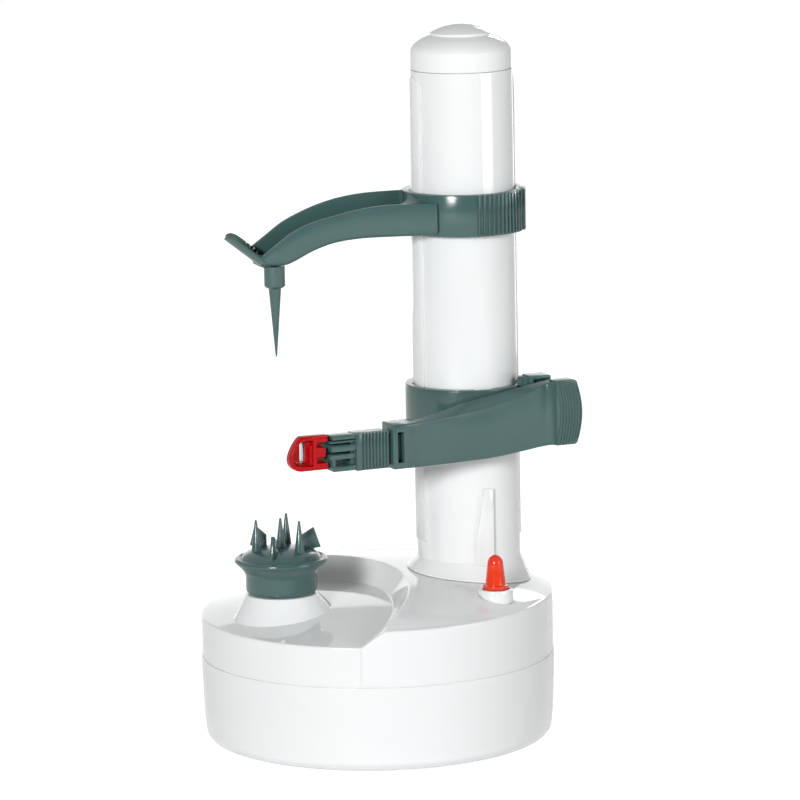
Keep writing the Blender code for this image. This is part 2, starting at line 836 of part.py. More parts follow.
def make_inlet():
    """The power inlet: a block inside the wall with a round nose and a centre pin."""
    face = lower_radius - wall_draft
    nose = [(0, 0), (inlet_nose, 0), (inlet_nose, lower_wall + sink), (0, lower_wall + sink)]
    body = block((face - lower_wall - inlet_depth, -inlet_width / 2, inlet_height - inlet_width / 2),
                 (face - lower_wall - running - wall_draft, inlet_width / 2, inlet_height + inlet_width / 2))
    inlet = add_piece("power_inlet", turn_shape(body, inlet_angle), "black_plastic")
    front = lying(turned(nose, part_steps), face - lower_wall - running - wall_draft - sink, 0, inlet_height)
    join(inlet, turn_shape(front, inlet_angle), "nose")
    depth = face - inlet_reach
    ring = lying(turned([(inlet_pin, 0), (inlet_bore, 0), (inlet_bore, inlet_reach + overrun),
                         (inlet_pin, inlet_reach + overrun)], part_steps), depth, 0, inlet_height)
    cut(inlet, turn_shape(ring, inlet_angle), "socket")


# Gear train: spindle gear, idler and leadscrew gear lie in one plane, and the motor's
# pinion drives the idler through a two-step gear
def pitch_radius(teeth):
    return module * teeth / 2


def gear_outline(teeth, phase):
    """Involute teeth with a straight root, as points round the gear."""
    pitch = pitch_radius(teeth)
    root = pitch - gear_dedendum * module
    tip = pitch + gear_addendum * module
    angle = math.radians(pressure_angle)
    base = pitch * math.cos(angle)
    half_tooth = tooth_share * math.pi / teeth

    def involute(value):
        return math.tan(value) - value

    def half_at(radius):
        if radius <= base:
            return half_tooth + involute(angle)
        return half_tooth + involute(angle) - involute(math.acos(base / radius))

    points = []
    for k in range(teeth):
        centre = phase + 2 * math.pi * k / teeth
        for side in (-1, 1):
            flank = [(radius, centre + side * half_at(radius)) for radius in (root, tip)]
            points += flank if side < 0 else flank[::-1]
    return [(radius * math.cos(turn), radius * math.sin(turn)) for radius, turn in points]


def mesh_phase(first_teeth, first_phase, second_teeth, bearing):
    """The turn that puts the second gear's teeth into the first one's gaps."""
    arc = (first_phase - bearing) * pitch_radius(first_teeth)
    half_pitch = math.pi * module / 2
    return bearing + math.pi + (half_pitch - arc) / pitch_radius(second_teeth)


spindle_at = Vector((spindle_x, spindle_y))
column_at = Vector((column_x, column_y))
span = column_at - spindle_at
arm_of_train = pitch_radius(spindle_teeth) + pitch_radius(idler_teeth)
sideways = Vector((-span.y, span.x)).normalized()
idler_at = (spindle_at + column_at) / 2 + sideways * math.sqrt(arm_of_train ** 2 - (span.length / 2) ** 2)
train_reach = pitch_radius(idler_teeth) + pitch_radius(small_teeth)
double_at = idler_at + train_reach * Vector(polar(1, train_angle))
pinion_reach = pitch_radius(big_teeth) + pitch_radius(pinion_teeth)
motor_at = double_at + pinion_reach * Vector(polar(1, motor_angle))


def bearing_of(start, end):
    return math.atan2(end.y - start.y, end.x - start.x)


spindle_phase = 0.0
idler_phase = mesh_phase(spindle_teeth, spindle_phase, idler_teeth, bearing_of(spindle_at, idler_at))
column_phase = mesh_phase(idler_teeth, idler_phase, column_teeth, bearing_of(idler_at, column_at))
small_phase = mesh_phase(idler_teeth, idler_phase, small_teeth, bearing_of(idler_at, double_at))
pinion_phase = mesh_phase(big_teeth, small_phase, pinion_teeth, bearing_of(double_at, motor_at))

gear_low = plate_height + plate_thick + gear_gap
second_low = gear_low + gear_face + gap
upper_plate = plate_height + plate_thick + plate_room
plate_top = upper_plate + plate_thick


def make_gear(name, teeth, phase, low, high, bore, at, finish="acetal"):
    gear = add_piece(name, slab(gear_outline(teeth, phase), low, high), finish, None, (at.x, at.y, 0))
    cut(gear, rod(bore, low - overrun, high + overrun, small_steps), "bore")
    return gear


def make_gearbox():
    shaft_bore = spindle_radius + gap
    make_gear("spindle_gear", spindle_teeth, spindle_phase, gear_low, gear_low + gear_face,
              shaft_bore, spindle_at)
    make_gear("idler_gear", idler_teeth, idler_phase, gear_low, gear_low + gear_face,
              axle_radius + gap, idler_at)
    make_gear("leadscrew_gear", column_teeth, column_phase, gear_low, gear_low + gear_face,
              screw_journal + gap, column_at)
    double = add_piece("reduction_gear", slab(gear_outline(small_teeth, small_phase), gear_low,
                                              second_low + second_face / 2), "acetal", None,
                       (double_at.x, double_at.y, 0))
    join(double, slab(gear_outline(big_teeth, small_phase), second_low, second_low + second_face), "big")
    cut(double, rod(axle_radius + gap, gear_low - overrun, second_low + second_face + overrun,
                    small_steps), "bore")
    make_gear("motor_pinion", pinion_teeth, pinion_phase, second_low, second_low + second_face,
              motor_shaft + gap, motor_at, "bronze")
    lower = add_piece("gearbox_lower_plate",
                      rod(plate_radius, plate_height, plate_height + plate_thick, column_steps),
                      "black_plastic")
    upper = add_piece("gearbox_upper_plate", rod(plate_radius, upper_plate, plate_top, column_steps),
                      "black_plastic")
    pillars = []
    for k, angle in enumerate(pillar_angles):
        x, y = polar(pillar_ring, angle)
        pillars.append(ring_stack([
            deck_ring(pillar_bore, plate_height + plate_thick + gap, x, y, small_steps),
            deck_ring(pillar_radius, plate_height + plate_thick + gap, x, y, small_steps),
            deck_ring(pillar_radius, upper_plate - gap, x, y, small_steps),
            deck_ring(pillar_bore, upper_plate - gap, x, y, small_steps)]))
    add_each("gearbox_pillar", pillars, "zinc_steel")
    plate_low, plate_high = plate_height - overrun, plate_top + overrun
    cut(lower, rod(spindle_radius + gap, plate_low, plate_high, small_steps, *spindle_at), "spindle_hole")
    cut(upper, rod(spindle_radius + gap, plate_low, plate_high, small_steps, *spindle_at), "spindle_hole")
    cut(lower, rod(screw_journal + gap, plate_low, plate_high, small_steps, *column_at), "screw_hole")
    cut(upper, rod(screw_journal + gap, plate_low, plate_high, small_steps, *column_at), "screw_hole")
    for plate in (lower, upper):
        for label, at in (("idler", idler_at), ("double", double_at)):
            cut(plate, rod(axle_radius + gap, plate_low, plate_high, small_steps, *at), f"{label}_hole")
    cut(lower, rod(motor_neck + gap, plate_low, upper_plate, small_steps, *motor_at), "motor_hole")
    axle_low = plate_height - gap
    for name, at in (("idler_axle", idler_at), ("reduction_axle", double_at)):
        add_piece(name, rod(axle_radius, axle_low, plate_top, small_steps, *at), "steel")


def make_motor():
    """A flat-sided motor can that hangs under the lower plate, and its shaft."""
    high = plate_height - gap
    low = high - motor_length
    flat = math.degrees(math.asin((motor_radius - motor_flat) / motor_radius))
    outline = arc_points(motor_radius, -flat, flat, 12)
    outline += arc_points(motor_radius, 180 - flat, 180 + flat, 12)
    can = add_piece("motor_can", slab(outline, low, high), "zinc_steel", None, (*motor_at, 0))
    join(can, rod(motor_neck, high - sink, high + motor_neck_length, small_steps), "neck")
    cut(can, rod(motor_shaft + gap, low + overrun, high + motor_neck_length + overrun, small_steps), "bore")
    shaft_top = second_low + second_face + gap
    add_piece("motor_shaft", rod(motor_shaft, low + overrun + gap, shaft_top, small_steps), "steel", None,
              (*motor_at, 0))


# Spindle, bush and spiked cup
cup_bottom = skirt_top + gap
shaft_low = plate_height - 4 * gap


def make_spindle():
    shaft_top = cup_bottom + cup_socket - gap
    add_piece("spindle_shaft", rod(spindle_radius, shaft_low, shaft_top, part_steps), "steel",
              spindle_axis)
    bush_low = skirt_top - bush_length
    bore = spindle_radius + gap
    add_piece("spindle_bush", turned([
        (bore, bush_low - bush_flange), (bush_radius + upper_wall / 2, bush_low - bush_flange),
        (bush_radius + upper_wall / 2, bush_low - gap), (bush_radius, bush_low - gap),
        (bush_radius, skirt_top), (bore, skirt_top)], part_steps), "bronze", spindle_axis)


def make_cup():
    low = cup_bottom
    rim = low + cup_height
    socket = spindle_radius + gap
    profile = [(socket, low), (cup_radius - cup_foot_round, low),
               (cup_radius - 0.3 * cup_foot_round, low + 0.3 * cup_foot_round),
               (cup_radius, low + cup_foot_round), (cup_radius, low + cup_waist)]
    flare_width = cup_rim_radius - cup_rim_bead / 2 - cup_radius
    flare_height = cup_height - cup_rim_bead - cup_waist
    for k in range(1, 4):
        turn = math.radians(30 * k)
        profile.append((cup_radius + flare_width * (1 - math.cos(turn)),
                        low + cup_waist + flare_height * math.sin(turn)))
    profile += [(cup_rim_radius, rim - cup_rim_bead / 2), (cup_rim_radius - cup_rim_bead / 2, rim),
                (cup_rim_radius - 2 * cup_rim_bead, rim - cup_rim_bead / 2),
                (cup_crown_radius, rim + cup_crown - cup_rim_bead), (0, rim + cup_crown),
                (0, low + cup_socket), (socket, low + cup_socket)]
    cup = add_piece("spiked_cup", turned(profile, 40), "green_plastic", spindle_axis)
    crown = rim + cup_crown - cup_rim_bead
    for k in range(3):
        x, y = polar(post_ring, post_first + 120 * k)
        post = turned([(0, crown - overrun), (post_radius, crown - overrun),
                       (post_tip_radius, crown + post_height), (0, crown + post_height)], 12, x, y)
        join(cup, post, f"post_{k}")
        fin = upright([(fin_inner, rim), (fin_foot, rim - overrun), (fin_foot, rim + fin_low),
                       (fin_outer, rim + fin_low), (fin_tip, rim + fin_high),
                       (fin_inner, rim + fin_high - fin_step)], -fin_thick / 2, fin_thick / 2)
        join(cup, turn_shape(fin, fin_first + 120 * k), f"fin_{k}")
    spike = turned([(0, rim + cup_crown - overrun), (post_radius, rim + cup_crown - overrun),
                    (post_tip_radius, crown + post_height), (0, crown + post_height)], 12)
    join(cup, spike, "centre_spike")


# Column, its cap and the leadscrew inside
column_low = plate_top + gap


def column_radius_at(z):
    share = (z - flare_top) / (column_top - flare_top)
    return column_radius + (column_top_radius - column_radius) * share


def rail_sector(inner, outer, slack, low, high, turn):
    """A piece of a ring as wide as a guide rail, and its slack to each side."""
    half = math.degrees((rail_width / 2 + slack) / column_radius)
    steps = 2 * rail_rounds
    return slab(arc_points(outer, turn - half, turn + half, steps)
                + arc_points(inner, turn + half, turn - half, steps), low, high)


def guide_rail(turn, inside):
    """A rail that lies round the column, with a round top."""
    half = math.degrees(rail_width / 2 / column_radius)
    rise = rail_width / 2
    outer = column_top_radius + rail_height
    shares = [k / rail_rounds for k in range(-rail_rounds, rail_rounds + 1)]
    tops = [rail_top - rise * (1 - math.sqrt(1 - share * share)) for share in shares]
    angles = [turn + half * share for share in shares]
    sections = []
    for angle, top in zip(angles, tops):
        sections.append([(*polar(inside, angle), rail_bottom), (*polar(outer, angle), rail_bottom),
                         (*polar(outer, angle), top), (*polar(inside, angle), top)])
    return loft(sections)


def make_column():
    inner = column_radius - column_wall
    inside = column_radius - column_wall / 2

    def deck_below(x, y):
        return high_deck(x + column_x, y + column_y) + gap

    tube = add_piece("column_tube", ring_stack([
        deck_ring(inner, column_low, 0, 0),
        deck_ring(column_radius, column_low, 0, 0),
        deck_ring(column_radius, deck_below, 0, 0),
        deck_ring(flare_radius, deck_below, 0, 0),
        deck_ring(flare_radius, lambda x, y: deck_below(x, y) + flare_lip, 0, 0),
        deck_ring(column_radius, flare_top, 0, 0),
        deck_ring(column_top_radius, column_top, 0, 0),
        deck_ring(column_top_radius - column_wall, column_top, 0, 0)]), "white_abs", column_axis)
    join(tube, merged([guide_rail(turn, inside) for turn in (rail_angle, rail_angle + 180)]), "rails")
    cam = upright([(-cam_left, flare_top - overrun), (cam_right, flare_top - overrun), (cam_right, cam_top),
                   (-cam_top_left, cam_top), (-cam_left, cam_shoulder)],
                  -column_radius - cam_height, -inside)
    join(tube, turn_shape(cam, cam_angle + 90), "cam")
    slot = block((0, -slot_width / 2, slot_bottom), (column_radius + overrun, slot_width / 2, slot_top))
    cut(tube, turn_shape(slot, slot_angle), "slot")


def make_cap():
    low = column_top + gap
    outer = column_top_radius
    disc = low + cap_disc_height
    profile = [(outer - cap_wall, low), (outer, low), (outer, low + cap_band)]
    for k in range(1, 4):
        turn = math.radians(30 * k)
        profile.append((cap_disc_radius + (outer - cap_disc_radius) * math.cos(turn),
                        low + cap_band + (cap_disc_height - cap_band) * math.sin(turn)))
    profile.append((cap_disc_radius, disc + cap_disc_edge))
    crown = cap_height - cap_disc_height - cap_disc_edge
    for k in range(1, 4):
        turn = math.radians(22.5 * k)
        profile.append((cap_disc_radius * math.cos(turn), disc + cap_disc_edge + crown * math.sin(turn)))
    plug = column_top_radius - column_wall - gap
    ceiling = low + cap_height - 2 * cap_wall
    profile += [(0, low + cap_height), (0, screw_top + gap), (screw_journal + gap, screw_top + gap),
                (screw_journal + gap, low), (cap_boss_radius, low),
                (cap_boss_radius, ceiling - cap_wall), (cap_disc_radius, ceiling - 2 * cap_wall),
                (plug - cap_plug_wall, low + cap_band), (plug - cap_plug_wall, low - cap_plug),
                (plug, low - cap_plug), (plug, low)]
    add_piece("column_cap", turned(profile, column_steps), "white_abs", column_axis)


def make_leadscrew():
    """A coarse thread as one closed skin that runs into a plain journal at each end."""
    sides = 8
    turns = int((screw_run - screw_foot) / screw_pitch)
    quarter = screw_pitch / 4
    radii = (screw_core, screw_core, screw_crest, screw_crest)
    last = 4 * turns
    bm = bmesh.new()

    def corner(side, radius, height):
        turn = 2 * math.pi * side / sides
        return bm.verts.new((radius * math.cos(turn), radius * math.sin(turn), height))

    def ring(height):
        return [corner(side, screw_journal, height) for side in range(sides)]

    columns = [[corner(side, radii[k % 4], screw_foot + quarter * k + screw_pitch * side / sides)
                for k in range(last + 1)] for side in range(sides)]
    low_ring, foot_ring = ring(shaft_low), ring(screw_foot - quarter)
    head_ring, top_ring = ring(screw_foot + (turns + 1) * screw_pitch + quarter), ring(screw_top)
    first, final = columns[0], columns[-1]
    for left, right in zip(columns, columns[1:]):
        for k in range(last):
            bm.faces.new((left[k], right[k], right[k + 1], left[k + 1]))
    for k in range(last - 4):
        bm.faces.new((final[k], first[k + 4], first[k + 5], final[k + 1]))
    for side in range(sides - 1):
        bm.faces.new((foot_ring[side], foot_ring[side + 1], columns[side + 1][0], columns[side][0]))
        bm.faces.new((columns[side][-1], columns[side + 1][-1], head_ring[side + 1], head_ring[side]))
    bm.faces.new((foot_ring[-1], foot_ring[0], first[4], final[0]))
    bm.faces.new((foot_ring[0], *first[:5]))
    bm.faces.new((final[-5], first[-1], head_ring[0], head_ring[-1]))
    bm.faces.new((*final[-5:], head_ring[-1]))
    for lower, upper in ((low_ring, foot_ring), (head_ring, top_ring)):
        for side in range(sides):
            after = (side + 1) % sides
            bm.faces.new((lower[side], lower[after], upper[after], upper[side]))
    bm.faces.new(low_ring)
    bm.faces.new(top_ring)
    bm.normal_update()
    bmesh.ops.triangulate(bm, faces=bm.faces)
    add_piece("leadscrew", bm, "steel", column_axis)


def make_button():
    low = button_seat
    seat = high_deck(button_x, button_y)
    profile = [(0, low - button_stem_length), (button_stem, low - button_stem_length), (button_stem, low),
               (button_flange, low), (button_flange, low + button_flange_height),
               (button_radius, low + button_flange_height + collar_round),
               (button_top_radius, low + button_height - button_dome)]
    for k in range(1, 6):
        turn = math.radians(18 * k)
        profile.append((button_top_radius * math.cos(turn),
                        low + button_height - button_dome + button_dome * math.sin(turn)))
    profile[-1] = (0, low + button_height)
    add_piece("start_button", turned(profile, part_steps), "button_red", button_axis)

    def deck_below(x, y):
        return high_deck(x + button_x, y + button_y) + gap

    bore = button_flange + gap
    collar = ring_stack([
        deck_ring(bore, seat - collar_plug_depth, 0, 0, part_steps),
        deck_ring(collar_plug, seat - collar_plug_depth, 0, 0, part_steps),
        deck_ring(collar_plug, deck_below, 0, 0, part_steps),
        deck_ring(collar_foot_radius, deck_below, 0, 0, part_steps),
        deck_ring(collar_radius, low - collar_round, 0, 0, part_steps),
        deck_ring(collar_radius - collar_round, low, 0, 0, part_steps),
        deck_ring(bore, low, 0, 0, part_steps)])
    add_piece("button_collar", collar, "white_abs", button_axis)
    switch_top = plate_top + gap + switch_height
    switch = add_piece("start_switch", block((-switch_length / 2, -switch_width / 2, plate_top + gap),
                                             (switch_length / 2, switch_width / 2, switch_top)),
                       "black_plastic", button_axis)
    cut(switch, rod(button_stem + gap, switch_top - switch_well, switch_top + overrun, small_steps), "well")
    coil(name="button_spring", radius=spring_radius, wire=spring_wire, turns=spring_turns,
         low=switch_top + gap, high=low - gap, parent=button_axis)


def coil(name, radius, wire, turns, low, high, parent):
    """A wire spring as one tube whose centre line climbs at a steady rate."""
    steps = 10 * turns
    pitch = (high - low - 2 * wire) / turns
    curve = bpy.data.curves.new(name, "CURVE")
    curve.dimensions = "3D"
    curve.bevel_depth = wire
    curve.bevel_resolution = 1
    curve.use_fill_caps = True
    line = curve.splines.new("POLY")
    line.points.add(steps)
    route = []
    for k in range(steps + 1):
        turn = 2 * math.pi * k * turns / steps
        route.append(Vector((radius * math.cos(turn), radius * math.sin(turn),
                             low + wire + pitch * turns * k / steps)))
        line.points[k].co = (*route[-1], 1)
    curve.materials.append(materials["steel"])
    spring = bpy.data.objects.new(name, curve)
    spring.parent = parent
    bpy.context.scene.collection.objects.link(spring)
    apart = steps // turns // 2
    least = min((first - second).length for k, first in enumerate(route) for second in route[k + apart:])
    print(f"{name}: least gap between turns {(least - 2 * wire) / mm:.2f} mm")


# Collars round the column: each starts as a solid disc, and its bore is cut last
def collar_disc(edge, low, high):
    """A disc whose edge is a list of (angle, radius) points."""
    return slab([polar(radius, angle) for angle, radius in edge], low, high)


def plain_edge(radius):
    return [(360 * k / column_steps, radius) for k in range(column_steps)]


def cut_grooves(piece, low, high):
    """Room for the two rails that keep a collar from turning."""
    deep = column_radius + rail_height + groove_slack
    cut(piece, merged([
        rail_sector(column_radius - overrun, deep, groove_slack, low - overrun, high + overrun, turn)
        for turn in (rail_angle, rail_angle + 180)]), "grooves")


def holder_edge():
    """The holder's collar: finger ribs at the front right, a clasp behind them, then plain."""
    bevel = holder_rib_step / 10
    inner, outer = holder_collar_radius, holder_collar_radius + holder_rib
    points = []
    for k in range(holder_ribs):
        start = holder_rib_from + k * holder_rib_step
        end = start + holder_rib_step * holder_rib_share
        points += [(start, inner), (start + bevel, outer), (end - bevel, outer), (end, inner)]
    outer = holder_collar_radius + holder_clasp
    middle = (holder_clasp_from + holder_clasp_to) / 2
    points += [(holder_clasp_from - bevel, inner), (holder_clasp_from, outer), (middle, outer),
               (holder_clasp_to, outer), (holder_clasp_to + bevel, inner)]
    plain = int(column_steps * 3 / 4)
    start, end = holder_clasp_to + holder_rib_step, holder_rib_from + 360
    points += [(start + (end - start) * k / plain, inner) for k in range(plain)]
    return points


# Stations along the trough from its tip to the collar: share of the way, then the heights
# of its floor, front edge and back edge over the foot of the tip, as shares of its rise
trough_foot = prong_top + gap
trough_rise = holder_bottom + holder_height - trough_foot
trough_shares = (
    (0.00, 0.000, 0.05, 0.14),
    (0.10, 0.010, 0.30, 0.50),
    (0.20, 0.070, 0.47, 0.66),
    (0.30, 0.190, 0.59, 0.78),
    (0.42, 0.290, 0.70, 0.87),
    (0.56, 0.345, 0.77, 0.94),
    (0.72, 0.358, 0.80, 0.985),
    (1.00, 0.350, 0.81, 1.00),
)


def trough_section(share, floor, front_edge, back_edge, inner=False):
    """One cross-section of the holder's open trough, or of the room inside it."""
    tip = Vector((spindle_x - tip_reach, spindle_y)) - column_at
    front = (tip + Vector((0, -tip_front))).lerp(Vector((root_front_x, root_front_y)) - column_at, share)
    back = (tip + Vector((0, tip_back))).lerp(Vector((root_back_x, root_back_y)) - column_at, share)
    low = trough_foot + floor * trough_rise
    front_high = trough_foot + front_edge * trough_rise
    back_high = trough_foot + back_edge * trough_rise
    if inner:
        across = (back - front).normalized() * trough_wall
        front, back = front + across, back - across
        low += trough_wall
        front_high += 2 * trough_wall
        back_high += 2 * trough_wall
    return [(*front, low), (*back, low), (*back, back_high), (*front, front_high)]


def loft(sections):
    """Bridge cross-sections of equal length and close both ends."""
    bm = bmesh.new()
    loops = [[bm.verts.new(point) for point in section] for section in sections]
    for first, second in zip(loops, loops[1:]):
        for k in range(len(first)):
            after = (k + 1) % len(first)
            bm.faces.new((first[k], first[after], second[after], second[k]))
    bm.faces.new(loops[0])
    bm.faces.new(loops[-1][::-1])
    bm.normal_update()
    bmesh.ops.triangulate(bm, faces=bm.faces)
    return bm


def make_holder():
    low, high = holder_bottom, holder_bottom + holder_height
    arm = add_piece("food_holder_arm", loft([trough_section(*row) for row in trough_shares]),
                    "green_plastic", column_axis)
    beyond = 0.08
    rows = [(-beyond, *trough_shares[0][1:]), *trough_shares[1:-1],
            (1 + beyond, *trough_shares[-1][1:])]
    cut(arm, loft([trough_section(*row, inner=True) for row in rows]), "trough_room")
    join(arm, collar_disc(holder_edge(), low, high), "collar")
    tip_x = spindle_x - column_x
    tip_y = spindle_y - column_y
    turn = math.radians(lever_angle)
    along = Vector((-math.cos(turn), math.sin(turn)))
    across = Vector((math.sin(turn), math.cos(turn)))
    start = Vector((tip_x - tip_reach / 2, trough_foot + lever_thick / 2))
    outline = [start, start + along * lever_length, start + along * lever_length + across * lever_thick]
    back = start + across * lever_thick
    for k in range(lever_teeth, 0, -1):
        foot = back + along * (tip_reach + k * lever_tooth_pitch)
        outline += [foot, foot + across * lever_tooth - along * lever_tooth, foot - along * lever_tooth]
    outline.append(back)
    lever = upright([tuple(point) for point in outline], tip_y - lever_width / 2,
                    tip_y + lever_width / 2)
    join(arm, lever, "thumb_lever")
    boss = rod(prong_clip_radius, trough_foot, trough_foot + 2 * trough_wall, part_steps, tip_x, tip_y)
    join(arm, boss, "prong_boss")
    cut(arm, rod(prong_pin_radius + gap, trough_foot - overrun, trough_foot + trough_rise, small_steps,
                 tip_x, tip_y), "prong_bore")
    cut(arm, rod(collar_bore, low - overrun, high + overrun, column_steps), "collar_bore")
    cut_grooves(arm, low, high)
    tongue = block((column_radius - tongue_reach, -slot_width / 2 + tongue_slack, low + tongue_thick),
                   (collar_bore + sink, slot_width / 2 - tongue_slack, high - tongue_thick))
    join(arm, turn_shape(tongue, slot_angle), "tongue")


def make_prong():
    """The free-turning prong that holds the food from above, and the clip that keeps it in."""
    low = prong_top - prong_collar
    pin_top = prong_top + prong_pin_length
    add_piece("top_prong", turned([
        (0, low - prong_length), (prong_tip_radius, low - prong_length),
        (prong_radius, low), (prong_collar_radius - prong_chamfer, low),
        (prong_collar_radius, low + prong_chamfer), (prong_collar_radius, prong_top),
        (prong_pin_radius, prong_top), (prong_pin_radius, pin_top), (0, pin_top)], part_steps),
        "green_plastic", spindle_axis)
    clip_low = trough_foot + 2 * trough_wall + gap
    add_piece("prong_clip", turned([
        (prong_pin_radius + gap / 3, clip_low), (prong_clip_radius, clip_low),
        (prong_clip_radius, clip_low + prong_clip), (prong_pin_radius + gap / 3, clip_low + prong_clip)],
        small_steps), "steel", spindle_axis)


def make_carriage():
    low, high = carriage_bottom, carriage_bottom + carriage_height
    carriage = add_piece("peel_carriage", collar_disc(plain_edge(carriage_radius), low, high),
                         "green_plastic", column_axis)
    pivot = Vector((pivot_x, pivot_y)) - column_at
    inward = pivot.normalized() * (collar_bore + carriage_radius) / 2
    side = Vector((-inward.y, inward.x)).normalized() * ear_radius
    reach = math.degrees(math.atan2(pivot.y, pivot.x))
    nose = arc_points(ear_radius, reach - 90, reach + 90, 8, pivot.x, pivot.y)
    outline = [tuple(inward - side), *nose, tuple(inward + side)]
    join(carriage, slab(outline, low - ear_rise, low - ear_rise + ear_thick), "lower_ear")
    join(carriage, slab(outline, ear_top - ear_roof - ear_room, ear_top - ear_roof), "upper_ear")
    box = block((ear_box_from, -ear_radius / 2, ear_top - ear_roof - ear_room),
                (ear_box_to, ear_box_front, ear_top))
    join(carriage, move_shape(turn_shape(box, arm_turn), pivot.x, pivot.y), "ear_box")
    room = block((ear_box_from + ear_lip, pin_radius + ear_lip, ear_top - ear_roof - ear_room + ear_lip),
                 (ear_box_to - ear_lip, ear_box_front + overrun, ear_top - ear_roof))
    cut(carriage, move_shape(turn_shape(room, arm_turn), pivot.x, pivot.y), "ear_room")
    cut(carriage, rod(pin_radius + gap, low - ear_rise - overrun, ear_top - ear_roof, small_steps,
                      pivot.x, pivot.y), "pin_bore")
    cut(carriage, rod(collar_bore, low - overrun, high + overrun, column_steps), "collar_bore")
    cut_grooves(carriage, low, high)
    cam_room = upright([(-cam_left - cam_clear, low - overrun), (cam_right + cam_clear, low - overrun),
                        (cam_right + cam_clear, high + overrun), (-cam_left - cam_clear, high + overrun)],
                       -column_radius - cam_height - cam_clear, -column_radius + column_wall)
    cut(carriage, turn_shape(cam_room, cam_angle + 90), "cam_room")
    tongue = block((screw_crest + nut_clear + nut_wall / 2, -slot_width / 2 + tongue_slack,
                    low + tongue_thick),
                   (collar_bore + sink, slot_width / 2 - tongue_slack, high - tongue_thick))
    join(carriage, turn_shape(tongue, slot_angle), "tongue")
    middle = (low + high) / 2
    inner = screw_crest + nut_clear
    start, end = slot_angle - nut_spread, slot_angle + nut_spread
    nut = add_piece("half_nut", slab(
        arc_points(inner, start, end, 10) + arc_points(inner + nut_wall, end, start, 10),
        middle - nut_height / 2, middle + nut_height / 2), "acetal", column_axis)
    room = block((inner + nut_wall / 2 - gap, -slot_width / 2, low + tongue_thick - gap),
                 (collar_bore, slot_width / 2, high - tongue_thick + gap))
    cut(nut, turn_shape(room, slot_angle), "tongue_slot")


# Peel arm, drawn in its own frame: x is u, y is n and the empty turns it into place.
# Seen from above, u runs towards the blade and n points to the front.
def make_pivot():
    low = carriage_bottom - ear_rise - gap
    add_piece("pivot_pin", turned([
        (0, low - pin_head_height), (pin_head, low - pin_head_height), (pin_head, low),
        (pin_radius, low), (pin_radius, ear_top - ear_roof - gap), (0, ear_top - ear_roof - gap)],
        small_steps), "steel", arm_axis)


# Stations of the arm from the blade end to the paddle: u as a share of the arm's length, then
# the lower and the upper edge over the arm's foot as shares of its end height
arm_side_shares = (
    (0.97, 0.000, 0.995),
    (0.80, 0.000, 1.070),
    (0.55, 0.010, 1.190),
    (0.38, 0.030, 1.275),
    (0.20, 0.100, 1.385),
    (0.06, 0.175, 1.490),
)


def arm_section(u, low, high, front):
    """A channel that opens towards the column."""
    back = front - arm_flange
    return [(u, front, low), (u, front, high), (u, back, high), (u, back, high - arm_panel),
            (u, front - arm_panel, high - arm_panel), (u, front - arm_panel, low + arm_panel),
            (u, back, low + arm_panel), (u, back, low)]


def paddle_section(height, share):
    """A slice of the ribbed paddle, with its front towards +n."""
    shift = math.sin(math.pi * share)
    left = paddle_start - paddle_left_bulge * shift
    right = paddle_end - paddle_bulge * shift
    back = arm_front + paddle_stand - paddle_thick
    front = arm_front + paddle_stand
    step = (right - left) / paddle_ribs
    points = [(left, back, height)]
    for k in range(paddle_ribs):
        start = left + k * step
        points += [(start, front, height), (start + step * paddle_rib_share, front, height),
                   (start + step * paddle_rib_share, front - paddle_rib, height),
                   (start + step, front - paddle_rib, height)]
    points.append((right, back, height))
    return points


def make_arm():
    front = arm_front
    stations = [(share * arm_end, arm_bottom + low * arm_end_height, arm_bottom + high * arm_end_height)
                for share, low, high in arm_side_shares]
    stations.append((paddle_start - sink, paddle_bottom + overrun, paddle_top - overrun))
    arm = add_piece("peel_arm", loft([arm_section(*station, front) for station in stations]),
                    "green_plastic", arm_axis)
    stand = front + arm_step
    box = block((arm_end - arm_box, stand - arm_box_depth, arm_bottom - arm_step),
                (arm_end, stand, arm_bottom + arm_end_height))
    join(arm, box, "socket_box")
    slices = 8
    rows = [(paddle_bottom + (paddle_top - paddle_bottom) * k / slices, k / slices)
            for k in range(slices + 1)]
    join(arm, loft([paddle_section(*row) for row in rows]), "paddle")
    hub_low = carriage_bottom - ear_rise + ear_thick + gap
    hub_high = hub_low + arm_hub_height
    join(arm, rod(arm_hub_radius, hub_low, hub_high, part_steps), "hub")
    web = block((arm_web_from, pin_radius, hub_low + arm_step),
                (arm_web_from + arm_web, front - arm_panel / 2, hub_high - arm_step))
    join(arm, web, "web")
    cut(arm, rod(pin_radius + gap, hub_low - overrun, hub_high + overrun, small_steps), "pin_bore")
    tenon_low = head_bottom + head_height / 2 - tenon_half - tenon_slack
    tenon_high = head_bottom + head_height / 2 + tenon_half + tenon_slack
    tenon_front = head_front - tenon_inset + tenon_slack
    cut(arm, block((arm_end - head_tenon - tenon_slack, tenon_front - tenon_depth - 2 * tenon_slack,
                    tenon_low),
                   (arm_end + overrun, tenon_front, tenon_high)), "socket")
    cut(arm, block((window_u - window_width / 2, tenon_front - tenon_depth / 2, arm_bottom + window_low),
                   (window_u + window_width / 2, stand + overrun, arm_bottom + window_high)), "window")
    coil(name="arm_spring", radius=torsion_radius, wire=torsion_wire, turns=torsion_turns,
         low=hub_high + gap, high=ear_top - ear_roof - ear_room - gap, parent=arm_axis)


head_front = arm_front - (arm_box_depth - head_depth) / 2
tenon_depth = head_depth - 2 * tenon_inset
tenon_half = head_height / 2 - tenon_step
fork_start = head_start + head_length
fork_end = fork_start + fork_length
carrier_pivot = fork_end + pin_reach
pin_line = head_front - head_depth + fork_tip_depth / 2


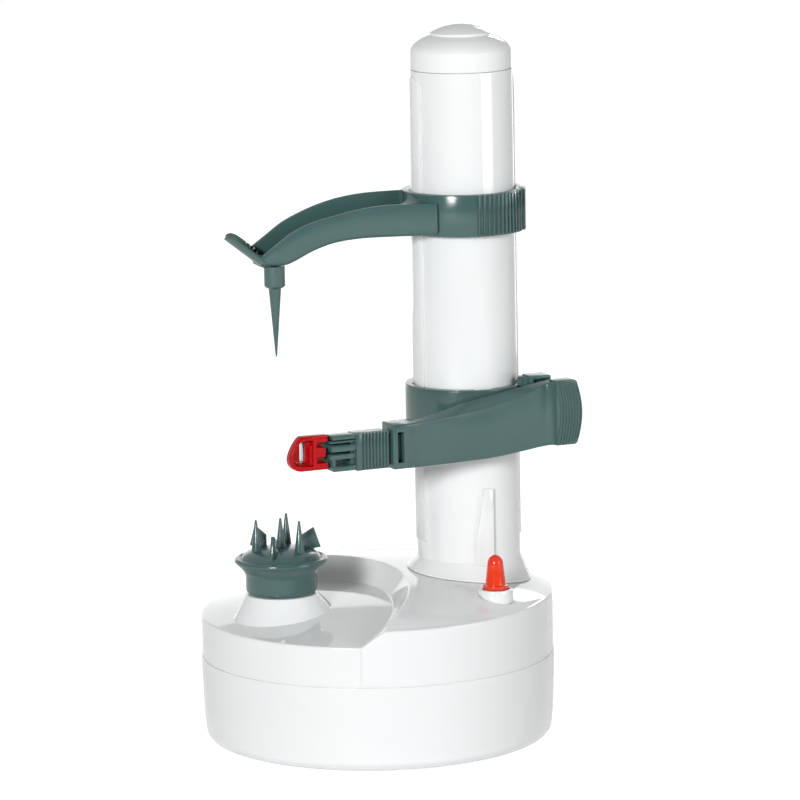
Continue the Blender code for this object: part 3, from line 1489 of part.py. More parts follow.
def make_head():
    """The plug-in head: a ribbed grip, a tenon into the arm, and a fork for the carrier."""
    low, high = head_bottom, head_bottom + head_height
    middle = (low + high) / 2
    back = head_front - head_depth
    pitch = (head_length - head_first_rib) / head_ribs
    comb = [(head_start, back), (head_start, head_front)]
    for k in range(head_ribs):
        u = head_start + (k + head_rib_share) * pitch
        wide = u + pitch * (1 - head_rib_share)
        comb += [(u, head_front), (u, head_front - head_groove), (wide, head_front - head_groove),
                 (wide, head_front)]
    comb += [(fork_start, head_front), (fork_start, back)]
    head = add_piece("blade_head", slab(comb, low, high), "green_plastic", arm_axis)
    tenon = block((arm_end - head_tenon, back + tenon_inset, middle - tenon_half),
                  (head_start + sink, head_front - tenon_inset, middle + tenon_half))
    join(head, tenon, "tenon")
    inset = head_groove
    body = block((fork_start - sink, back + inset / 2, low + inset),
                 (fork_end, back + fork_tip_depth + inset / 2, high - inset))
    join(head, body, "fork_body")
    rails = [block((fork_start - sink, back + inset, bottom), (fork_end - fork_step, head_front - inset,
                                                              bottom + fork_rail))
             for bottom in (low + inset / 2, middle - fork_rail / 2, high - inset / 2 - fork_rail)]
    join(head, merged(rails), "fork_rails")
    prongs = [block((fork_end - fork_step, back + inset, bottom),
                    (carrier_pivot + pin_reach / 2, back + fork_tip_depth, bottom + fork_prong - 2 * inset))
              for bottom in (low + 2 * inset, high - fork_prong)]
    join(head, merged(prongs), "prongs")
    cut(head, rod(blade_pin_radius + gap, low - overrun, high + overrun, small_steps, carrier_pivot,
                  pin_line), "pin_bore")
    add_piece("carrier_pin", rod(blade_pin_radius, low + 2 * inset, high - 2 * inset, small_steps,
                                 carrier_pivot, pin_line), "steel", arm_axis)


def make_carrier():
    """The red carrier swings on the fork's pin and holds the blade towards the food."""
    centre = head_front - head_depth / 2
    middle = head_bottom + head_height / 2 + carrier_lift
    half = carrier_height / 2
    bend = carrier_end - half
    steps = 12

    def stadium(reach, start):
        bow = [(bend + reach * math.sin(math.pi * k / steps), middle + reach * math.cos(math.pi * k / steps))
               for k in range(steps + 1)]
        return [(start, middle + reach), *bow, (start, middle - reach)]

    back, face = centre - carrier_depth / 2, centre + carrier_depth / 2
    hook = fork_end - hook_reach
    carrier = add_piece("blade_carrier", upright(stadium(half, hook), back, face), "red_plastic", arm_axis)
    inner = half - carrier_wall
    cut(carrier, upright(stadium(inner, carrier_pivot + blade_pin_radius + carrier_wall),
                         back + carrier_floor, face + overrun), "dish")
    fork_middle = head_bottom + head_height / 2
    notch = head_height / 2 - fork_prong
    cut(carrier, block((hook - overrun, back - overrun, middle - half - overrun),
                       (carrier_pivot + pin_reach / 2 + carrier_slack, back + fork_tip_depth - hook_lift,
                        middle + half + overrun)), "fork_room")
    gap_low = middle - half + hook_height
    gap_high = middle + half - hook_height
    cut(carrier, block((hook - overrun, back - overrun, gap_low),
                       (fork_end + carrier_slack, face + overrun, gap_high)), "hook_gap")
    lug = block((carrier_pivot - lug_reach, pin_line - lug_reach, fork_middle - notch + carrier_slack),
                (carrier_pivot + lug_reach + carrier_wall, face - overrun,
                 fork_middle + notch - carrier_slack))
    join(carrier, lug, "lug")
    cut(carrier, rod(blade_pin_radius + gap, fork_middle - notch - overrun, fork_middle + notch + overrun,
                     small_steps, carrier_pivot, pin_line), "pin_bore")
    slit_high = blade_height / 2
    cut(carrier, upright([(bend - blade_slit, middle - slit_high), (bend, middle - slit_high),
                          (bend, middle + slit_high), (bend - blade_slit, middle + slit_high)],
                         back - overrun, back + carrier_floor + overrun), "slit")
    blade_back = back - gap
    reach = blade_length / 2
    plate = add_piece("peeling_blade", upright(
        [(bend - reach, middle - slit_high), (bend + reach, middle - slit_high),
         (bend + reach, middle + slit_high), (bend - reach, middle + slit_high)],
        blade_back - blade_thick, blade_back), "steel", arm_axis)
    low, high = middle - slit_high + carrier_floor, middle + slit_high - carrier_floor
    cut(plate, upright([(bend - blade_slit / 2, low), (bend + blade_slit / 4, low),
                        (bend + blade_slit / 4, high), (bend - blade_slit / 2, high)],
                       blade_back - 2 * blade_thick, blade_back + overrun), "edge_slot")


make_upper_shell()
make_lower_shell()
make_batteries()
make_feet_and_screws()
make_inlet()
make_gearbox()
make_motor()
make_spindle()
make_cup()
make_column()
make_cap()
make_leadscrew()
make_button()
make_holder()
make_prong()
make_carriage()
make_pivot()
make_arm()
make_head()
make_carrier()
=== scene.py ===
from math import acos, atan2, cos, degrees, hypot, pi, radians, sin, sqrt, tan

import bmesh
import bpy
from mathutils import Matrix, Vector


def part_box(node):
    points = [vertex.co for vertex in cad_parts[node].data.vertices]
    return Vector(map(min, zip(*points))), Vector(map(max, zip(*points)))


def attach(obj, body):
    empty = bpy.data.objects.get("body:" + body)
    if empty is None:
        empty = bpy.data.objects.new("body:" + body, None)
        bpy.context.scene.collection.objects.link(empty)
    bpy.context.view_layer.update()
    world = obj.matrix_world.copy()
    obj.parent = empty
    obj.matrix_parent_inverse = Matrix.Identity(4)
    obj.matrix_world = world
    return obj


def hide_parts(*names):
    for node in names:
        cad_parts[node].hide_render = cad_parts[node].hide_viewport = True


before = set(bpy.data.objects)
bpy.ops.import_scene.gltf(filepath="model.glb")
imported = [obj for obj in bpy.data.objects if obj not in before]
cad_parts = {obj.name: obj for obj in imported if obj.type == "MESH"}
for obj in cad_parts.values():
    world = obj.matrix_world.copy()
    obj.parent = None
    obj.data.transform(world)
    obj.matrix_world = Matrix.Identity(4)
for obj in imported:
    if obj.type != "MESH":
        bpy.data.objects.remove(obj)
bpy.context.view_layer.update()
mm = 0.001
# Points closer than this are merged
tight = 0.002 * mm


# Lengths are written in millimetres and kept in metres
def inMetres(**lengths):
    return {name: length * mm for name, length in lengths.items()}


def metres(*lengths):
    return tuple(length * mm for length in lengths)


# Selecting, drawing and finishing, shared by all the pieces below
def deselectAll():
    if bpy.context.object and bpy.context.object.mode != "OBJECT":
        bpy.ops.object.mode_set(mode="OBJECT")
    for other in list(bpy.context.selected_objects):
        other.select_set(False)


def pickPiece(piece):
    deselectAll()
    piece.select_set(True)
    bpy.context.view_layer.objects.active = piece


def openPiece(piece):
    pickPiece(piece)
    bpy.ops.object.mode_set(mode="EDIT")
    bpy.ops.mesh.select_mode(type="VERT")
    bpy.ops.mesh.select_all(action="SELECT")


def closePiece(piece):
    bpy.ops.mesh.select_all(action="SELECT")
    bpy.ops.mesh.remove_doubles(threshold=tight)
    bpy.ops.mesh.normals_make_consistent(inside=False)
    bpy.ops.object.mode_set(mode="OBJECT")
    return piece


# Selects the open edges of a shell
def pickOpenEdges(piece):
    shape = bmesh.from_edit_mesh(piece.data)
    for item in [*shape.verts, *shape.edges, *shape.faces]:
        item.select = False
    for edge in shape.edges:
        if len(edge.link_faces) == 1:
            edge.select = True
            for vertex in edge.verts:
                vertex.select = True
    bmesh.update_edit_mesh(piece.data)


# Adds a primitive under its own name and applies its size and place
def addPrimitive(add, name, scale=(1, 1, 1), **settings):
    deselectAll()
    add(**settings)
    piece = bpy.context.object
    piece.name = piece.data.name = name
    piece.scale = scale
    bpy.ops.object.transform_apply(location=True, rotation=True, scale=True)
    return piece


def extrudeBy(step):
    bpy.ops.mesh.extrude_region_move(TRANSFORM_OT_translate={"value": step})


def extrudeEdgesDown(drop):
    bpy.ops.mesh.extrude_edges_move(TRANSFORM_OT_translate={"value": (0, 0, -drop)})


# One point, extruded from place to place along an outline
def drawLine(name, points, closed):
    piece = addPrimitive(bpy.ops.mesh.primitive_plane_add, name, size=mm, location=(0, 0, 0))
    openPiece(piece)
    bpy.ops.mesh.merge(type="CENTER")
    bpy.ops.transform.translate(value=Vector(points[0]))
    for start, end in zip(points, points[1:]):
        extrudeBy(Vector(end) - Vector(start))
    if closed:
        shape = bmesh.from_edit_mesh(piece.data)
        for vertex in shape.verts:
            vertex.select = len(vertex.link_edges) == 1
        bmesh.update_edit_mesh(piece.data)
        bpy.ops.mesh.edge_face_add()
    bpy.ops.mesh.select_all(action="SELECT")
    return piece


# Spins an outline of (radius, height) round an upright line; an open one ends on that line
def spinPiece(name, outline, at, steps, closed=True):
    piece = drawLine(name, [(at[0] + radius, at[1], height) for radius, height in outline], closed)
    bpy.ops.mesh.spin(steps=steps, angle=2 * pi, center=(*at, 0), axis=(0, 0, 1))
    return closePiece(piece)


# Fills a closed outline and extrudes it by one step
def extrudePiece(name, points, step):
    piece = drawLine(name, points, True)
    bpy.ops.mesh.edge_face_add()
    extrudeBy(Vector(step))
    return closePiece(piece)


# Rounds the corners of an outline: each point is (across, up, radius of its rounding)
def roundCorners(points, closed=True, steps=4):
    rounded = []
    count = len(points)
    edgeShare = 0.48
    for k, (across, up, radius) in enumerate(points):
        here = Vector((across, up))
        atEnd = not closed and k in (0, count - 1)
        if radius <= 0 or atEnd:
            rounded.append((across, up))
            continue
        before = Vector(points[k - 1][:2]) - here
        after = Vector(points[(k + 1) % count][:2]) - here
        corner = before.angle(after)
        reach = min(radius / tan(corner / 2), edgeShare * before.length, edgeShare * after.length)
        radius = reach * tan(corner / 2)
        before.normalize()
        after.normalize()
        middle = here + (before + after).normalized() * radius / sin(corner / 2)
        first, last = here + before * reach - middle, here + after * reach - middle
        sweep = first.angle_signed(last)
        for step in range(steps + 1):
            turned = first.copy()
            turned.rotate(Matrix.Rotation(-sweep * step / steps, 2))
            rounded.append(tuple(middle + turned))
    return rounded


# Points of an ellipse's arc at whole degrees
def arc(across, up, width, height, turns):
    return [(across + width * cos(radians(turn)), up + height * sin(radians(turn))) for turn in turns]


# A sheet primitive whose points are then placed one by one by their row and column
def placedGrid(name, rows, columns, at):
    piece = addPrimitive(bpy.ops.mesh.primitive_grid_add, name, x_subdivisions=columns,
                         y_subdivisions=rows, size=1)
    for vertex in piece.data.vertices:
        vertex.co = at(round((vertex.co.y + 0.5) * rows), round((vertex.co.x + 0.5) * columns))
    return piece


# Cross-sections with the same number of points, bridged from first to last, both ends closed
def loftPiece(name, sections):
    count = len(sections[0])
    piece = placedGrid(name, len(sections) - 1, count, lambda row, column: sections[row][column % count])
    openPiece(piece)
    bpy.ops.mesh.remove_doubles(threshold=tight)
    pickOpenEdges(piece)
    bpy.ops.mesh.edge_face_add()
    shape = bmesh.from_edit_mesh(piece.data)
    openEdges = [edge for edge in shape.edges if len(edge.link_faces) == 1]
    if openEdges:
        bmesh.ops.contextual_create(shape, geom=openEdges)
        bmesh.update_edit_mesh(piece.data)
    return closePiece(piece)


# Values between the rows of a table, on one smooth curve through all of them
def smoothTable(rows, share):
    last = len(rows) - 1
    k = max(n for n in range(last) if rows[n][0] <= share or n == 0)
    before, start, end, after = (rows[max(k - 1, 0)], rows[k], rows[k + 1], rows[min(k + 2, last)])
    width = end[0] - start[0]
    t = (share - start[0]) / width
    values = []
    for column in range(1, len(start)):
        low, high = start[column], end[column]
        slopeIn = (high - before[column]) / (end[0] - before[0]) * width
        slopeOut = (after[column] - low) / (after[0] - start[0]) * width
        values.append((2 * t ** 3 - 3 * t ** 2 + 1) * low + (t ** 3 - 2 * t ** 2 + t) * slopeIn
                      + (3 * t ** 2 - 2 * t ** 3) * high + (t ** 3 - t ** 2) * slopeOut)
    return values


def applyModifier(piece, kind, **settings):
    pickPiece(piece)
    modifier = piece.modifiers.new(kind.title(), kind)
    for name, value in settings.items():
        setattr(modifier, name, value)
    bpy.ops.object.modifier_apply(modifier=modifier.name)


# Cuts shapes from a piece, or joins them on, and removes these tools
def combine(piece, operation, tools):
    for tool in tools:
        applyModifier(piece, "BOOLEAN", operation=operation, solver="EXACT", object=tool)
        bpy.data.objects.remove(tool, do_unlink=True)


def cutWith(piece, *tools):
    combine(piece, "DIFFERENCE", tools)


def joinWith(piece, *tools):
    combine(piece, "UNION", tools)


# Rounds the edges that turn more than an angle
def softenEdges(piece, width, segments, turn):
    applyModifier(piece, "BEVEL", width=width, segments=segments, limit_method="ANGLE",
                  angle_limit=radians(turn), use_clamp_overlap=True, harden_normals=False,
                  miter_outer="MITER_ARC")
    return piece


# Takes a piece that was modelled about its own axes to its place
def placePiece(piece, place):
    pickPiece(piece)
    piece.matrix_world = place
    bpy.ops.object.transform_apply(location=True, rotation=True, scale=True)
    return piece


def turnedAt(at, turn):
    return Matrix.Translation((*at, 0)) @ Matrix.Rotation(radians(turn), 4, "Z")


# A rod between two heights, as a tool for cutting or a part of a piece
def makeRod(name, radius, low, high, at, steps=48):
    return addPrimitive(bpy.ops.mesh.primitive_cylinder_add, name, vertices=steps, radius=radius,
                        depth=high - low, location=(*at, (low + high) / 2))


def makeBlock(name, low, high):
    return addPrimitive(bpy.ops.mesh.primitive_cube_add, name, [b - a for a, b in zip(low, high)],
                        size=1, location=[(a + b) / 2 for a, b in zip(low, high)])


# Outlines that meet the deck are drawn with marker levels of 59 to 62 mm. Their points then
# follow the deck: {marker level in millimetres: height over the deck}
def followDeck(piece, deckHeight, levels):
    openPiece(piece)
    shape = bmesh.from_edit_mesh(piece.data)
    for vertex in shape.verts:
        for level, over in levels.items():
            if abs(vertex.co.z - level * mm) < 0.01 * mm:
                vertex.co.z = deckHeight(vertex.co.x, vertex.co.y) + over
    bmesh.update_edit_mesh(piece.data)
    closePiece(piece)


# Smooths the sides that turn less than an angle, gives the slot's finish, ties the piece to its
# body and hides the frame's node
def finishPiece(piece, body, node, slotName, turn):
    pickPiece(piece)
    bpy.ops.object.shade_smooth_by_angle(angle=radians(turn))
    piece.data.materials.clear()
    piece.data.materials.append(finishes[slotFinishes[slotName]])
    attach(piece, body)
    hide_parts(node)
    print(f"{piece.name}: {len(piece.data.polygons)} faces")


def polar(radius, turn, at=(0.0, 0.0)):
    return at[0] + radius * cos(radians(turn)), at[1] + radius * sin(radians(turn))


# Finishes
def hexColour(code):
    channels = [int(code[k:k + 2], 16) / 255 for k in (1, 3, 5)]
    return (*[c / 12.92 if c <= 0.04045 else ((c + 0.055) / 1.055) ** 2.4 for c in channels], 1.0)


# Adds a node with its settings, the values of its sockets and the sockets or nodes that feed it
def addNode(tree, kind, settings=None, values=None, links=None):
    node = tree.nodes.new(kind)
    for name, value in (settings or {}).items():
        setattr(node, name, value)
    for name, value in (values or {}).items():
        node.inputs[name].default_value = value
    for name, source in (links or {}).items():
        tree.links.new(source.outputs[0] if isinstance(source, bpy.types.Node) else source, node.inputs[name])
    return node


# A moulded or metal surface: tone drifts over centimetres, gloss over millimetres, and a fine
# relief breaks up the highlights. Sizes are real ones, in millimetres.
def makeFinish(name, look):
    colour, otherColour, driftSize, glossSize, roughness, grainSize, strength, depth, extra = look
    material = bpy.data.materials.new(name)
    material.use_nodes = True
    tree = material.node_tree
    shader = tree.nodes["Principled BSDF"]
    place = addNode(tree, "ShaderNodeTexCoord").outputs["Object"]
    grainStretch = grainStretches.get(name, (1, 1, 1))
    stretch = addNode(tree, "ShaderNodeMapping", None, {"Scale": grainStretch}, {"Vector": place})

    def noise(size, detail, rough, source):
        return addNode(tree, "ShaderNodeTexNoise", None,
                       {"Scale": 1 / (size * mm), "Detail": detail, "Roughness": rough}, {"Vector": source})

    tone = addNode(tree, "ShaderNodeMix", {"data_type": "RGBA"},
                   {6: hexColour(colour), 7: hexColour(otherColour)},
                   {"Factor": noise(driftSize, 3.0, 0.55, place)})
    gloss = addNode(tree, "ShaderNodeMapRange", None,
                    {"From Min": 0.3, "From Max": 0.7, "To Min": roughness[0], "To Max": roughness[1]},
                    {"Value": noise(glossSize, 4.0, 0.6, stretch)})
    relief = addNode(tree, "ShaderNodeBump", None, {"Strength": strength, "Distance": depth * mm},
                     {"Height": noise(grainSize, 2.0, 0.5, stretch)})
    tree.links.new(tone.outputs[2], shader.inputs["Base Color"])
    tree.links.new(gloss.outputs["Result"], shader.inputs["Roughness"])
    tree.links.new(relief.outputs["Normal"], shader.inputs["Normal"])
    for socket, value in extra.items():
        shader.inputs[socket].default_value = value
    return material


# Two colours, the sizes of the tone's and the gloss's drift, the roughness from and to, the
# grain's size, strength and depth, and other inputs of the shader
finishLooks = {
    # Moulded gloss ABS: nearly white, mirror-like at a low angle, faint flow marks
    "glossWhiteAbs": ("#F1F3F3", "#ECEFEF", 60, 9, (0.05, 0.09), 2.5, 0.02, 0.02, {"IOR": 1.53}),
    # Moulded grey-green ABS with a satin gloss and a fine spark-eroded grain
    "satinGreenAbs": ("#456461", "#405E5B", 22, 6, (0.15, 0.24), 0.35, 0.05, 0.008, {"IOR": 1.53}),
    # Deep red gloss polypropylene of the blade carrier
    "glossRedPolymer": ("#BE0810", "#AE060D", 8, 2, (0.14, 0.22), 0.5, 0.08, 0.02,
                        {"IOR": 1.38, "Specular IOR Level": 0.3}),
    # Orange-red translucent button cap, moulded and polished
    "glossButtonRed": ("#F0421F", "#E63A19", 8, 3, (0.10, 0.16), 0.8, 0.06, 0.02,
                       {"IOR": 1.49, "Subsurface Weight": 0.25, "Subsurface Scale": 1.5 * mm,
                        "Subsurface Radius": (1.0, 0.35, 0.2)}),
    # Stainless blade steel, ground along its length: fine scratches 0.15 mm apart
    "groundSteel": ("#C9CACB", "#BDBEC0", 6, 0.6, (0.16, 0.30), 0.15, 0.15, 0.01, {"Metallic": 1.0}),
    # Zinc-plated steel: slightly blue, cloudy gloss
    "zincPlate": ("#B4B7BA", "#A3A6AA", 5, 1.5, (0.28, 0.44), 0.3, 0.12, 0.02, {"Metallic": 1.0}),
    # Moulded thermoplastic rubber: dull, with a fine sandy grain
    "mouldedRubber": ("#26272A", "#1F2022", 6, 1.2, (0.68, 0.84), 0.35, 0.35, 0.06, {"IOR": 1.45}),
    # Black moulded polyamide inside the base
    "mouldedBlack": ("#26282A", "#1E2022", 15, 3, (0.38, 0.52), 0.4, 0.2, 0.04, {"IOR": 1.5}),
    # Natural acetal gears: creamy, waxy
    "naturalAcetal": ("#E6E2D5", "#DDD8C9", 10, 2, (0.34, 0.46), 0.5, 0.1, 0.03, {"IOR": 1.48}),
    # Sintered bronze: warm, open-pored
    "sinteredBronze": ("#A9793F", "#8E6230", 4, 0.8, (0.34, 0.52), 0.25, 0.3, 0.03, {"Metallic": 1.0}),
    # Printed film on a dry cell, left plain
    "cellFilm": ("#2F3442", "#2A2F3B", 20, 4, (0.28, 0.40), 1.0, 0.05, 0.02, {"IOR": 1.5}),
}
# The grinding marks run along X
grainStretches = {"groundSteel": (0.08, 1, 1)}
finishes = {name: makeFinish(name, look) for name, look in finishLooks.items()}
slotFinishes = {"white_abs": "glossWhiteAbs", "green_plastic": "satinGreenAbs",
                "red_plastic": "glossRedPolymer", "button_red": "glossButtonRed",
                "steel": "groundSteel", "zinc_steel": "zincPlate", "rubber": "mouldedRubber",
                "black_plastic": "mouldedBlack", "acetal": "naturalAcetal", "bronze": "sinteredBronze",
                "cell_wrap": "cellFilm"}
print("finishes made:", len(finishes))

# The upright axes of the base, and the screw bosses that join its two shells
spindleAt, columnAt, buttonAt = metres(-39.4, -21.7), metres(39.1, 5.4), metres(49.4, -36.0)
boss = inMetres(ring=64.6, radius=3.6, bore=1.4) | {"turns": (-62.0, 62.0, 150.0)}

# Upper base shell: two domes joined by a curved ramp, with the skirt under the cup
deck = inMetres(rim=73.8, wallBottom=37.2, wall=2.2, rimRound=0.9, lowTop=62.0, highTop=71.4, apexBack=4.0,
                reach=75.0, lowFall=7.8, highFall=6.4, highShoulder=3.4, rampX=-78.3, rampY=-29.5,
                footFront=84.0, footBack=88.0, headFront=92.6, headBack=90.2)
deck |= {"creaseShare": 0.07, "lowRows": 34, "highRows": 44, "columns": 84, "rimSteps": 5}
skirt = inMetres(top=66.6, topRadius=14.5, rimRadius=20.3, lip=0.5, bore=6.3, depth=11, edgeRound=0.35)


def lowDeck(x, y):
    away = hypot(x, y - deck["apexBack"]) / deck["reach"]
    return deck["lowTop"] - deck["lowFall"] * away ** 2


def highDeck(x, y):
    away = hypot(x, y - deck["apexBack"]) / deck["reach"]
    return deck["highTop"] - deck["highFall"] * away ** 2 - deck["highShoulder"] * away ** 8


# A straight slope from 0 to 1 whose two creases are rounded over a small share
def rampShare(t):
    soft = deck["creaseShare"]
    if t <= -soft:
        return 0.0
    if t < soft:
        return (t + soft) ** 2 / (4 * soft)
    if t <= 1 - soft:
        return t
    return 1 - (1 + soft - min(t, 1 + soft)) ** 2 / (4 * soft)


rampX, rampY = deck["rampX"], deck["rampY"]
rampReach = hypot(rampX, rampY)
rampBearing = atan2(-rampY, -rampX)


# One skin of the deck with its rim and wall; the inner one is the outer one less the wall
def deckSkin(name, inset):
    flat = deck["rim"] - inset - deck["rimRound"]

    def rimTurn(distance):
        cosine = (rampReach ** 2 + distance ** 2 - flat ** 2) / (2 * rampReach * distance)
        return acos(max(-1.0, min(1.0, cosine)))

    def rimDistance(angle):
        return sqrt(rampReach ** 2 + flat ** 2 - 2 * rampReach * flat * cos(angle))

    def rimAngle(distance):
        return acos((rampReach ** 2 + flat ** 2 - distance ** 2) / (2 * rampReach * flat))

    # Rows: distance from the ramp's centre at the front and the back, and how far up the ramp
    edges = [k * deck["creaseShare"] / 4 for k in range(-4, 5)]
    footFront, footBack, headFront, headBack = (
        deck[part] + inset for part in ("footFront", "footBack", "headFront", "headBack"))
    foot = rimAngle((footFront + footBack) / 2)
    top = rimAngle((headFront + headBack) / 2)
    rows = []
    for k in range(deck["lowRows"]):
        distance = rimDistance(foot * k / deck["lowRows"])
        rows.append((distance, distance, -1.0))
    for climb in edges + [0.3, 0.5, 0.7] + [1 + edge for edge in edges]:
        rows.append((footFront + (headFront - footFront) * climb,
                     footBack + (headBack - footBack) * climb, climb))
    for k in range(1, deck["highRows"] + 1):
        distance = rimDistance(top + (pi - top) * k / deck["highRows"])
        rows.append((distance, distance, 2.0))

    def deckPoint(row, column):
        front, back, climb = rows[row]
        across = column / deck["columns"]
        turn = rampBearing - rimTurn(front) + across * (rimTurn(front) + rimTurn(back))
        distance = front + (back - front) * across
        x = rampX + distance * cos(turn)
        y = rampY + distance * sin(turn)
        return x, y, lowDeck(x, y) + (highDeck(x, y) - lowDeck(x, y)) * rampShare(climb) - inset

    skin = placedGrid(name, len(rows) - 1, deck["columns"], deckPoint)
    openPiece(skin)
    bpy.ops.mesh.remove_doubles(threshold=0.01 * mm)
    # The rim is extruded out and down in small steps, then straight down to the seam
    rimRound, steps = deck["rimRound"], deck["rimSteps"]
    for step in range(1, steps + 1):
        pickOpenEdges(skin)
        extrudeEdgesDown(0)
        turnNow, turnBefore = pi / 2 * step / steps, pi / 2 * (step - 1) / steps
        grow = (flat + rimRound * sin(turnNow)) / (flat + rimRound * sin(turnBefore))
        bpy.ops.transform.resize(value=(grow, grow, 1), center_override=(0, 0, 0))
        bpy.ops.transform.translate(value=(0, 0, -rimRound * (cos(turnBefore) - cos(turnNow))))
    pickOpenEdges(skin)
    for drop in (0.25 * mm, 0.35 * mm, rimRound):
        extrudeEdgesDown(drop)
    bpy.ops.transform.resize(value=(1, 1, 0), center_override=(0, 0, deck["wallBottom"]))
    bpy.ops.object.mode_set(mode="OBJECT")
    return skin


# The two skins are joined, and the ring between their lower edges is filled
upperShell = deckSkin("upperShell", 0.0)
innerSkin = deckSkin("innerSkin", deck["wall"])
pickPiece(upperShell)
innerSkin.select_set(True)
bpy.ops.object.join()
openPiece(upperShell)
pickOpenEdges(upperShell)
bpy.ops.mesh.fill()
closePiece(upperShell)

# The rim of the skirt follows the low dome, half sunk under it and one lip over it
skirtLow, skirtInside = skirt["top"] - skirt["depth"], skirt["bore"] + deck["wall"]
skirtPiece = spinPiece("skirtPiece", [
    (skirt["bore"], skirtLow), (skirtInside, skirtLow), (skirtInside, 59 * mm),
    (skirt["rimRadius"], 59 * mm), (skirt["rimRadius"], 60 * mm),
    (skirt["rimRadius"] - skirt["edgeRound"], 61 * mm),
    (skirt["topRadius"] + skirt["edgeRound"], skirt["top"] - 0.3 * skirt["edgeRound"]),
    (skirt["topRadius"] - skirt["edgeRound"], skirt["top"]), (skirt["bore"], skirt["top"])], spindleAt, 128)
followDeck(skirtPiece, lowDeck, {59: -deck["wall"] / 2, 60: skirt["lip"] - skirt["edgeRound"],
                                 61: skirt["lip"]})
cutWith(upperShell, makeRod("spindleBore", skirt["bore"], 40 * mm, 70 * mm, spindleAt))
joinWith(upperShell, skirtPiece)
cutWith(upperShell, makeRod("columnHole", 21.9 * mm, 38 * mm, 76 * mm, columnAt, 96),
        makeRod("buttonHole", 6.9 * mm, 38 * mm, 76 * mm, buttonAt))
for turn in boss["turns"]:
    bossAt = polar(boss["ring"], turn)
    bossTop = (lowDeck if abs(turn) > 90 else highDeck)(*bossAt) - deck["wall"] / 2
    joinWith(upperShell, makeRod("shellBoss", boss["radius"], deck["wallBottom"], bossTop - mm, bossAt, 24))
    cutWith(upperShell, makeRod("bossBore", boss["bore"], 36 * mm, 45 * mm, bossAt, 16))
finishPiece(upperShell, "base", "base_upper_shell", "white_abs", 28)

# Lower base shell: a turned tub with a rounded foot, and the openings in its floor
tub = inMetres(radius=74.3, bottom=1.0, seam=36.9, round=5.0, draft=1.3, wall=2.4, floor=2.4, lipHeight=3.0,
               lipRadius=71.3, lipThick=1.5, seamRound=0.35, grooveRadius=73.55, grooveHeight=0.22,
               footRing=58.0, footSeat=6.8, seatDepth=2.1, postRing=55.0, postTop=35.7, sunk=0.6,
               doorGap=0.3, doorTravel=8.3, doorLedge=3.4, inletRing=71.5, inletHeight=17, inletRadius=4.7)
tub |= {"posts": (-100.0, 30.0, 168.0), "inletTurn": 96.0}
floorTop = tub["bottom"] + tub["floor"]
footEdge = tub["radius"] - tub["round"] - tub["draft"]
tubOutline = roundCorners([
    (0, tub["bottom"], 0), (footEdge, tub["bottom"], 0),
    (footEdge + 0.55 * tub["round"], tub["bottom"] + 0.12 * tub["round"], 4 * mm),
    (footEdge + 0.95 * tub["round"], tub["bottom"] + 0.65 * tub["round"], 4 * mm),
    (tub["radius"] - 0.8 * mm, tub["bottom"] + 2.2 * tub["round"], 20 * mm),
    (tub["radius"], tub["seam"], tub["seamRound"]), (tub["grooveRadius"], tub["seam"], 0),
    (tub["grooveRadius"], tub["seam"] + tub["grooveHeight"], 0),
    (tub["lipRadius"], tub["seam"] + tub["grooveHeight"], 0),
    (tub["lipRadius"], tub["seam"] + tub["lipHeight"], 0.3 * mm),
    (tub["lipRadius"] - tub["lipThick"], tub["seam"] + tub["lipHeight"], 0.3 * mm),
    (tub["lipRadius"] - tub["lipThick"], tub["seam"] - tub["lipHeight"], 0),
    (tub["radius"] - tub["wall"] - mm, tub["seam"] - 2 * tub["lipHeight"], 0),
    (footEdge + tub["round"] - tub["wall"] - mm, tub["bottom"] + tub["round"], 0),
    (footEdge, floorTop, 0), (0, floorTop, 0)], closed=False, steps=5)
lowerShell = spinPiece("lowerShell", tubOutline, (0, 0), 160, closed=False)
for turn in boss["turns"]:
    bossAt = polar(boss["ring"], turn)
    joinWith(lowerShell, makeRod("shellPost", boss["radius"], floorTop - tub["sunk"], tub["seam"],
                                 bossAt, 24))
    cutWith(lowerShell, makeRod("screwWell", 3.4 * mm, 0, tub["bottom"] + tub["seatDepth"], bossAt, 32),
            makeRod("screwBore", boss["bore"], 2 * mm, 38 * mm, bossAt, 16))
for turn in tub["posts"]:
    joinWith(lowerShell, makeRod("gearboxPost", boss["radius"], floorTop - tub["sunk"], tub["postTop"],
                                 polar(tub["postRing"], turn), 24))
for turn in (0, 90, 180, 270):
    cutWith(lowerShell, makeRod("footSeat", tub["footSeat"], 0, tub["seatDepth"],
                                polar(tub["footRing"], turn)))
doorLow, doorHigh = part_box("battery_door")
gap, ledge = tub["doorGap"], tub["doorLedge"]
cutWith(lowerShell,
        makeBlock("doorRecess", (doorLow.x - gap, doorLow.y - tub["doorTravel"], 0),
                  (doorHigh.x + gap, doorHigh.y + gap, doorHigh.z + gap)),
        makeBlock("batteryOpening", (doorLow.x + ledge, doorLow.y + ledge, 0),
                  (doorHigh.x - ledge, doorHigh.y - ledge, 5 * mm)),
        addPrimitive(bpy.ops.mesh.primitive_cylinder_add, "inletHole", vertices=48, radius=tub["inletRadius"],
                     depth=16 * mm, location=(*polar(tub["inletRing"], tub["inletTurn"]), tub["inletHeight"]),
                     rotation=(0, radians(90), radians(tub["inletTurn"]))))
finishPiece(lowerShell, "base", "base_lower_shell", "white_abs", 32)

